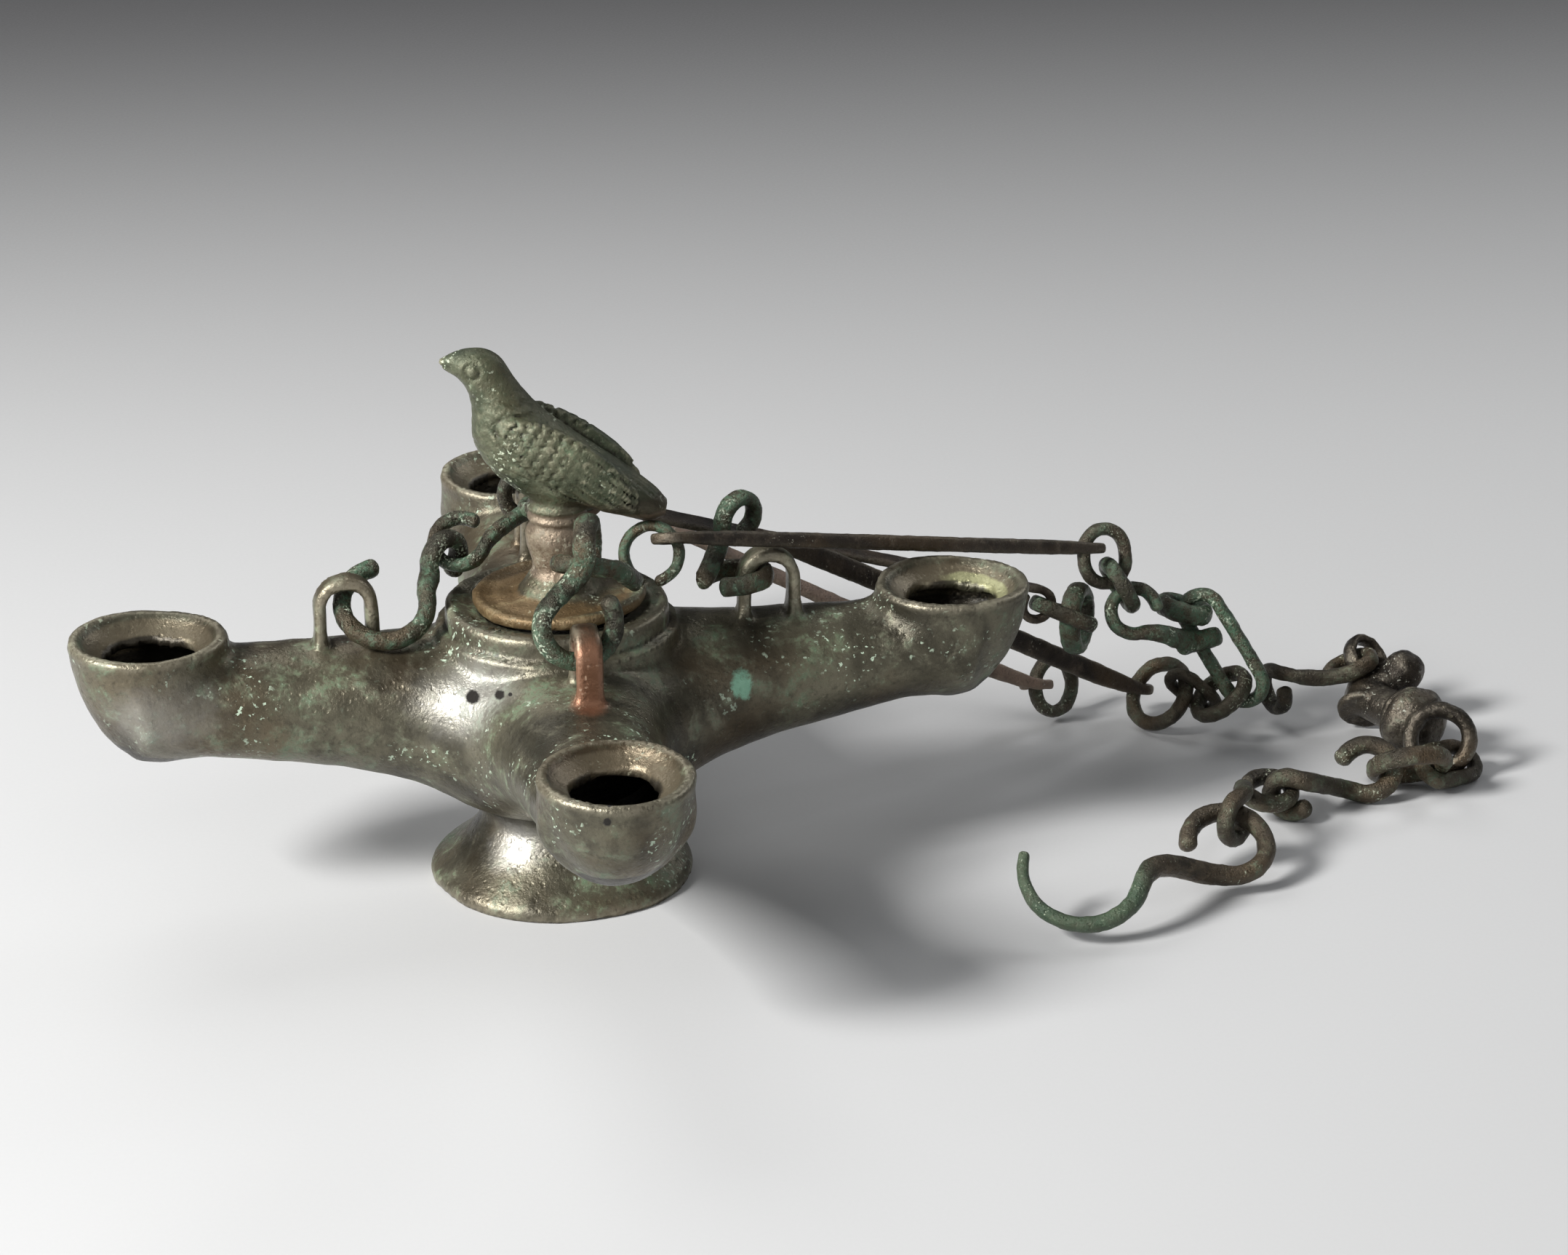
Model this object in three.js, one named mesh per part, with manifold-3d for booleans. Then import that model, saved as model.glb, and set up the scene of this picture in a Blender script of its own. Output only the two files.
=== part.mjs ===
// Four-spouted hanging lamp in cast bronze, with a bird on its lid, suspension rods,
// bent-wire chain links, a swivel and a hook. Millimetres, +Z up.
// Origin: centre of the foot's underside. The arms lie along -X, -Y, +X and +Y.
import * as THREE from 'three';
import { mergeVertices } from 'three/addons/utils/BufferGeometryUtils.js';
import Module from 'manifold-3d';

// ---------------------------------------------------------------- driving sizes
const NOZZLE_AT = 94.1;          // wick mouths' centres from the lamp's axis
const RIM_Z = 66.3;              // height of the wick mouths' rims
const NOZZLE_HALF_LENGTH = 17.9; // rim, along the arm
const NOZZLE_HALF_WIDTH = 16.8;  // rim, across the arm
const WALL = 2.6;                // cast wall
const WICK_HALF_LENGTH = 10.4;
const WICK_HALF_WIDTH = 9.5;
const WICK_LIP_DEPTH = 5.6;      // funnel from the rim down to the wick hole
const ARM_SQUARENESS = 2.15;     // superellipse power of the arm's section
// arm: distance from the axis, half width, top and the underside's share of the drop
const ARM_STATIONS = [
  { u: 8, w: 26.0, top: 61.6, drop: 0.0 },
  { u: 20, w: 25.4, top: 61.8, drop: 0.05 },
  { u: 30, w: 22.4, top: 61.7, drop: 0.28 },
  { u: 42, w: 19.2, top: 61.4, drop: 0.58 },
  { u: 56, w: 17.0, top: 61.2, drop: 0.8 },
  { u: 72, w: 15.8, top: 61.5, drop: 0.94 },
  { u: 94, w: 15.6, top: 63.0, drop: 1.0 },
];
const ARM_ROOT_BOTTOM = 21.5;
// each arm: direction and the underside of its wick cup (the casting is uneven)
const ARMS = {
  left: { dir: [-1, 0], cupBottom: 36.3 },
  front: { dir: [0, -1], cupBottom: 41.4 },
  right: { dir: [1, 0], cupBottom: 38.4 },
  back: { dir: [0, 1], cupBottom: 38.4 },
};
const BOWL_RADIUS = 27.0;
const FOOT_RADIUS = 31.2;
const COLLAR_RADIUS = 26.1;      // raised ring round the filling hole
const COLLAR_TOP = 68.4;
const FILLER_RADIUS = 17.8;
const SEAT_RADIUS = 22.1;        // ledge round the hole, which the lid rests on
const SEAT_Z = 67.4;
const LUG_BEND = 5.9;            // strap lugs: radius of the bend, width and thickness
const LUG_WIDTH = 6.2;
const LUG_THICKNESS = 3.0;
const LUG_BEND_Z = 70.4;
const LUGS = { left: [-48.8, 0], front: [1.4, -39.5], right: [50, 0], back: [0, 49] };
const LID_RADIUS = 20.2;
const LID_CENTRE = [0.8, 0.2];
const LID_LEAN = 0.04;           // the lid sits askew: rise along +X
const LID_Z = 69.65;
const LID_THICKNESS = 2.3;
const BIRD_HEADING = 0.18387;    // turn of the bird's long axis from X, radians

const COLOURS = {
  bronze: 0x4a4136, lid: 0x7a5f3c, patina: 0x6f8a6a, rod: 0x4b4038, swivel: 0x5c5246, hook: 0x52604a,
};

// ---------------------------------------------------------------- mesh helpers
const V = (a) => new THREE.Vector3(a[0], a[1], a[2]);

// closed solid through a row of rings of equal count
function loft(rings, { closed = false } = {}) {
  const n = rings.length, k = rings[0].length;
  const pos = [], idx = [];
  for (const r of rings) for (const p of r) pos.push(p.x, p.y, p.z);
  const last = closed ? n : n - 1;
  for (let i = 0; i < last; i++) for (let j = 0; j < k; j++) {
    const a = i * k + j, b = i * k + (j + 1) % k, c = ((i + 1) % n) * k + (j + 1) % k, d = ((i + 1) % n) * k + j;
    idx.push(a, b, c, a, c, d);
  }
  if (!closed) {
    for (const [ring, flip] of [[0, true], [n - 1, false]]) {
      const o = ring * k;
      for (let j = 1; j < k - 1; j++) idx.push(o, ...(flip ? [o + j + 1, o + j] : [o + j, o + j + 1]));
    }
  }
  const g = new THREE.BufferGeometry();
  g.setAttribute('position', new THREE.Float32BufferAttribute(pos, 3));
  g.setIndex(idx);
  return outward(g);
}
function outward(g) {
  const p = g.getAttribute('position'), ix = g.getIndex().array;
  let vol = 0;
  for (let i = 0; i < ix.length; i += 3) {
    const a = V([p.getX(ix[i]), p.getY(ix[i]), p.getZ(ix[i])]), b = V([p.getX(ix[i + 1]), p.getY(ix[i + 1]), p.getZ(ix[i + 1])]), c = V([p.getX(ix[i + 2]), p.getY(ix[i + 2]), p.getZ(ix[i + 2])]);
    vol += a.dot(b.cross(c));
  }
  if (vol < 0) for (let i = 0; i < ix.length; i += 3) { const t = ix[i]; ix[i] = ix[i + 1]; ix[i + 1] = t; }
  return g;
}
const wasm = await Module();
wasm.setup();
function solid(geometry) {
  let g = geometry.clone();
  g.deleteAttribute('normal'); g.deleteAttribute('uv');
  g = mergeVertices(g, 1e-4);
  return new wasm.Manifold(new wasm.Mesh({ numProp: 3, vertProperties: new Float32Array(g.getAttribute('position').array), triVerts: new Uint32Array(g.getIndex().array) }));
}
function geometryOf(manifold) {
  const m = manifold.getMesh();
  const g = new THREE.BufferGeometry();
  const pos = new Float32Array(m.numProp * (m.vertProperties.length / m.numProp));
  for (let i = 0; i < m.vertProperties.length / m.numProp; i++) for (let c = 0; c < 3; c++) pos[3 * i + c] = m.vertProperties[i * m.numProp + c];
  g.setAttribute('position', new THREE.BufferAttribute(pos, 3));
  g.setIndex(new THREE.BufferAttribute(new Uint32Array(m.triVerts), 1));
  return g;
}
const union = (list) => list.reduce((a, b) => a.add(b));

// turned solid: profile of [radius, height] from the axis back to the axis
function turned(profile, segments, sx = 1, sy = 1) {
  const g = new THREE.LatheGeometry(profile.map(([r, z]) => new THREE.Vector2(r, z)), segments);
  g.rotateX(Math.PI / 2);
  g.scale(sx, sy, 1);
  return g;
}
function tidy(g) {
  g.deleteAttribute('normal'); g.deleteAttribute('uv');
  let m = mergeVertices(g, 1e-4);
  // drop the collapsed triangles on the axis
  const ix = m.getIndex().array, keep = [];
  for (let i = 0; i < ix.length; i += 3) if (ix[i] !== ix[i + 1] && ix[i + 1] !== ix[i + 2] && ix[i] !== ix[i + 2]) keep.push(ix[i], ix[i + 1], ix[i + 2]);
  m.setIndex(keep);
  return outward(m);
}
const lathe = (profile, segments, sx, sy) => solid(tidy(turned(profile, segments, sx, sy)));

// wire or strap along a path: width lies along `across`, thickness square to it
function strap(path, across, width, thickness, { sides = 6, closed = false } = {}) {
  const n = path.length, rings = [];
  for (let i = 0; i < n; i++) {
    const a = path[closed ? (i + n - 1) % n : Math.max(i - 1, 0)], b = path[closed ? (i + 1) % n : Math.min(i + 1, n - 1)];
    const t = b.clone().sub(a).normalize();
    const w = across[i].clone().addScaledVector(t, -across[i].dot(t)).normalize();
    const h = t.clone().cross(w);
    const ring = [];
    for (let j = 0; j < sides; j++) {
      const q = 2 * Math.PI * (j + 0.5) / sides;
      ring.push(path[i].clone().addScaledVector(w, width[i] / 2 * Math.cos(q)).addScaledVector(h, thickness[i] / 2 * Math.sin(q)));
    }
    rings.push(ring);
  }
  return loft(rings, { closed });
}

// ---------------------------------------------------------------- lamp body
function armShell(arm, grow) {
  const rings = [];
  const sides = grow < 0 ? 10 : 14;
  const stations = grow < 0 ? ARM_STATIONS.filter((s) => s.u !== 20) : ARM_STATIONS;
  for (const s of stations) {
    const u = s.u + (grow < 0 && s.u === 94 ? -2 : 0);
    const bottom = ARM_ROOT_BOTTOM + (arm.cupBottom - 0.6 - ARM_ROOT_BOTTOM) * s.drop;
    const zc = (s.top + bottom) / 2, h = (s.top - bottom) / 2 + grow, w = s.w + grow;
    const ring = [];
    for (let j = 0; j < sides; j++) {
      const q = 2 * Math.PI * (j + 0.5) / sides, c = Math.cos(q), d = Math.sin(q);
      const e = 2 / ARM_SQUARENESS;
      ring.push(V([u, w * Math.sign(c) * Math.abs(c) ** e, zc + h * Math.sign(d) * Math.abs(d) ** e]));
    }
    rings.push(ring);
  }
  return solid(loft(rings));
}
function cupProfile(bottom, top, half, steps) {
  const p = [];
  for (let i = 0; i <= steps; i++) {
    const q = Math.PI / 2 * i / steps;
    p.push([i ? half * Math.sin(q) ** 0.98 : 0, top - (top - bottom) * Math.cos(q)]);
  }
  return p;
}
const aspect = NOZZLE_HALF_LENGTH / NOZZLE_HALF_WIDTH;
function nozzleCup(arm) {
  const w = NOZZLE_HALF_WIDTH;
  const p = cupProfile(arm.cupBottom, 63.4, w, 5);
  p.push([w, 65.6], [w - 1.4, RIM_Z + 0.4], [0, RIM_Z + 0.4]);
  return lathe(p, 16, aspect, 1).translate([NOZZLE_AT, 0, 0]);
}
function nozzleHollow(arm) {
  const w = NOZZLE_HALF_WIDTH - WALL;
  const p = cupProfile(arm.cupBottom + WALL, 57.8, w, 3);
  p.push([0, 57.8]);
  return lathe(p, 12, aspect, 1).translate([NOZZLE_AT, 0, 0]);
}
function wickMouth() {
  const r = NOZZLE_HALF_WIDTH - 2.2;
  const p = [[0, 50], [WICK_HALF_WIDTH, 50], [WICK_HALF_WIDTH, RIM_Z + 0.4 - WICK_LIP_DEPTH], [r, RIM_Z + 0.5], [r, RIM_Z + 3], [0, RIM_Z + 3]];
  return lathe(p, 12, WICK_HALF_LENGTH / WICK_HALF_WIDTH, 1).translate([NOZZLE_AT - 0.2, 0, 0]);
}
function lug(at, radial) {
  const path = [], across = [];
  const put = (o, z) => { path.push(V([at[0] + radial[0] * o, at[1] + radial[1] * o, z])); across.push(V([-radial[1], radial[0], 0])); };
  put(LUG_BEND, 59.6);
  for (let i = 0; i <= 5; i++) put(LUG_BEND * Math.cos(Math.PI * i / 5), LUG_BEND_Z + LUG_BEND * Math.sin(Math.PI * i / 5));
  put(-LUG_BEND, 59.6);
  // a strap of oblong section
  const rings = path.map((p, i) => {
    const a = path[Math.max(i - 1, 0)], b = path[Math.min(i + 1, path.length - 1)];
    const t = b.clone().sub(a).normalize(), h = t.clone().cross(across[i]);
    return [[1, 0], [0.8, 1], [-0.8, 1], [-1, 0], [-0.8, -1], [0.8, -1]].map(([x, y]) => p.clone().addScaledVector(across[i], LUG_WIDTH / 2 * x).addScaledVector(h, LUG_THICKNESS / 2 * y));
  });
  return solid(loft(rings));
}
function lampBody() {
  const R = FOOT_RADIUS, B = BOWL_RADIUS, C = COLLAR_RADIUS;
  const core = [
    [0, 0], [7, 0], [7.8, 2.4], [24, 2.4], [25.8, 0], [R - 0.4, 0], [R, 1.4], [R - 2.2, 4.2], [25.2, 7.2],
    [20.4, 12.4], [17.8, 17], [17.3, 21], [22.4, 29], [B - 0.8, 36], [B, 43], [B - 1.2, 57], [28.2, 60.8], [28.4, 63.4], [C, 64.6], [C, 66.9], [C - 1.4, COLLAR_TOP], [C - 3.2, COLLAR_TOP - 0.1], [SEAT_RADIUS, SEAT_Z], [0, SEAT_Z],
  ];
  const hollow = [[0, 27], [13.6, 27.6], [19.6, 31], [B - WALL - 0.6, 38], [B - WALL, 46], [22.4, 59], [0, 59]];
  const filler = [[0, 48], [FILLER_RADIUS, 48], [FILLER_RADIUS, 70], [0, 70]];
  let outer = lathe(core, 22), inner = lathe(hollow, 14), cuts = lathe(filler, 22);
  for (const key of Object.keys(ARMS)) {
    const arm = ARMS[key], turn = THREE.MathUtils.radToDeg(Math.atan2(arm.dir[1], arm.dir[0]));
    outer = outer.add(union([armShell(arm, 0), nozzleCup(arm)]).rotate([0, 0, turn]));
    inner = inner.add(union([armShell(arm, -WALL), nozzleHollow(arm)]).rotate([0, 0, turn]));
    cuts = cuts.add(wickMouth().rotate([0, 0, turn]));
  }
  for (const key of Object.keys(LUGS)) outer = outer.add(lug(LUGS[key], ARMS[key].dir));
  return outer.subtract(inner).subtract(cuts);
}

// ---------------------------------------------------------------- lid, post and bird, one casting
// ribs of the bird from tail to beak: upper point, lower point (along the bird, height), half width
const BIRD_RIBS = [
  [[26.0, 92.9], [25.4, 89.6], 3.4], [[22.6, 96.6], [21.4, 88.6], 5.6], [[16.1, 101.5], [13.1, 90.3], 7.4], [[8.7, 106.5], [5.6, 92.4], 8.8],
  [[2.2, 111.1], [-1.6, 93.4], 9.5], [[-3.2, 115.8], [-8.3, 96.0], 9.6], [[-6.6, 119.6], [-14.2, 100.8], 8.8], [[-8.4, 122.2], [-18.2, 108.4], 7.0],
  [[-9.8, 124.8], [-18.3, 115.6], 5.4], [[-11.6, 127.6], [-19.4, 120.2], 5.0], [[-14.6, 129.2], [-21.2, 122.6], 4.8], [[-18.6, 129.4], [-22.6, 123.6], 3.9], [[-22.4, 128.4], [-23.8, 124.3], 2.0], [[-25.4, 126.8], [-25.2, 125.4], 0.7],
];
const POST_PROFILE = [[0, 69.6], [9.8, 69.6], [8.6, 72.6], [5.9, 77], [7.5, 84.4], [6.6, 88.2], [7.1, 89.6], [6.5, 91.4], [8.2, 97.5], [0, 101]];
const KNOB = { at: [1.9, -7.4, 76.4], radius: 2.8 };
const WING = { along: 4.2, z: 104.2, side: 6.6, half: [17.5, 3.6, 6.6], pitch: 0.56 };
function birdPoint(s, lateral, z) {
  const c = Math.cos(BIRD_HEADING), d = Math.sin(BIRD_HEADING);
  return V([s * c + lateral * d, -s * d + lateral * c, z]);
}
function lidWithBird() {
  const disc = [[0, -LID_THICKNESS / 2], [LID_RADIUS - 1.4, -LID_THICKNESS / 2], [LID_RADIUS, 0], [LID_RADIUS - 1.4, 1.5], [LID_RADIUS - 3.6, 1.1], [0, 2.4]];
  const g = tidy(turned(disc, 20));
  g.rotateY(-Math.atan(LID_LEAN));
  g.translate(LID_CENTRE[0], LID_CENTRE[1], LID_Z + LID_LEAN * LID_CENTRE[0]);
  const post = lathe(POST_PROFILE, 12).translate([0.7, -0.1, 0]);
  const rings = BIRD_RIBS.map(([up, low, half]) => {
    const ring = [], n = 8, cs = (up[0] + low[0]) / 2, cz = (up[1] + low[1]) / 2, hs = (up[0] - low[0]) / 2, hz = (up[1] - low[1]) / 2;
    for (let j = 0; j < n; j++) {
      const q = 2 * Math.PI * j / n;
      ring.push(birdPoint(cs + hs * Math.cos(q), half * Math.sin(q), cz + hz * Math.cos(q)));
    }
    return ring;
  });
  const wings = [-1, 1].map((side) => {
    const w = new THREE.SphereGeometry(1, 8, 5);
    w.scale(WING.half[0], WING.half[1], WING.half[2]);
    w.rotateY(WING.pitch);
    w.translate(WING.along, side * WING.side, WING.z);
    w.rotateZ(-BIRD_HEADING);
    return solid(tidy(w));
  });
  const knob = new THREE.SphereGeometry(KNOB.radius, 6, 4);
  knob.translate(...KNOB.at);
  return union([solid(g), post, solid(loft(rings)), ...wings, solid(tidy(knob))]);
}

// ---------------------------------------------------------------- chain
// closed ring or oval: centre, axis, bend radius, width along the axis, thickness, half the straight length and its direction
function ringPath(r) {
  const n = V(r.axis).normalize(), d0 = V(r.along ?? [1, 0, 0]);
  const d = d0.addScaledVector(n, -d0.dot(n)).normalize(), e = n.clone().cross(d);
  const path = [], k = 6, a = r.straight ?? 0;
  for (const s of [1, -1]) for (let i = 0; i < k; i++) {
    const q = -Math.PI / 2 + Math.PI * i / (a > 0 ? k - 1 : k);
    path.push(V(r.at).addScaledVector(d, s * (a + r.bend * Math.cos(q))).addScaledVector(e, s * r.bend * Math.sin(q)));
  }
  return { path, across: path.map(() => n.clone()), width: path.map(() => r.width), thickness: path.map(() => r.thickness) };
}
// wire bent into an eye at each end. Each eye: centre, axis, the side where the shank leaves, bend radius, sweep in degrees
function linkPath(l) {
  const frame = (e) => { const n = V(e.axis).normalize(); const m = V(e.side); m.addScaledVector(n, -m.dot(n)).normalize(); return { c: V(e.at), n, m, q: n.clone().cross(m), r: e.bend, s: THREE.MathUtils.degToRad(e.sweep) }; };
  const A = frame(l.from), B = frame(l.to), path = [], across = [], width = [], thickness = [];
  const same = A.n.dot(B.n) >= 0 ? 1 : -1, steps = 6, mid = l.long ? 6 : 3;
  const put = (p, w, a, b) => { path.push(p); across.push(w); width.push(a); thickness.push(b); };
  for (let i = 0; i <= steps; i++) {
    const q = A.s * (1 - i / steps);
    put(A.c.clone().addScaledVector(A.m, A.r * Math.cos(q)).addScaledVector(A.q, -A.r * Math.sin(q)), A.n.clone(), l.width, l.thickness);
  }
  const a = path[path.length - 1].clone(), b = B.c.clone().addScaledVector(B.m, B.r), L = a.distanceTo(b) * (l.slack ?? 1);
  for (let i = 1; i < mid; i++) {
    let s = i / mid; s = s * s * (3 - 2 * s) * 0.6 + s * 0.4;
    const h = 3 * s * s - 2 * s ** 3, e = Math.min(1, 5 * s, 5 * (1 - s));
    const p = a.clone().multiplyScalar(1 - h).addScaledVector(b, h).addScaledVector(A.q, L * (s ** 3 - 2 * s * s + s)).addScaledVector(B.q, L * (s ** 3 - s * s));
    put(p, A.n.clone().multiplyScalar(1 - h).addScaledVector(B.n, same * h).normalize(), l.width + ((l.shankWidth ?? l.width) - l.width) * e, l.thickness + ((l.shankThickness ?? l.thickness) - l.thickness) * e);
  }
  for (let i = 0; i <= steps; i++) {
    const q = B.s * i / steps, f = 1 + ((l.taper ?? 1) - 1) * i / steps;
    put(B.c.clone().addScaledVector(B.m, B.r * Math.cos(q)).addScaledVector(B.q, B.r * Math.sin(q)), B.n.clone().multiplyScalar(same), l.width * f, l.thickness * f);
  }
  return { path, across, width, thickness };
}
const chainGeometry = (c) => {
  const closed = c.bend !== undefined, p = closed ? ringPath(c) : linkPath(c);
  return strap(p.path, p.across, p.width, p.thickness, { closed, sides: 6 });
};
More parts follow.
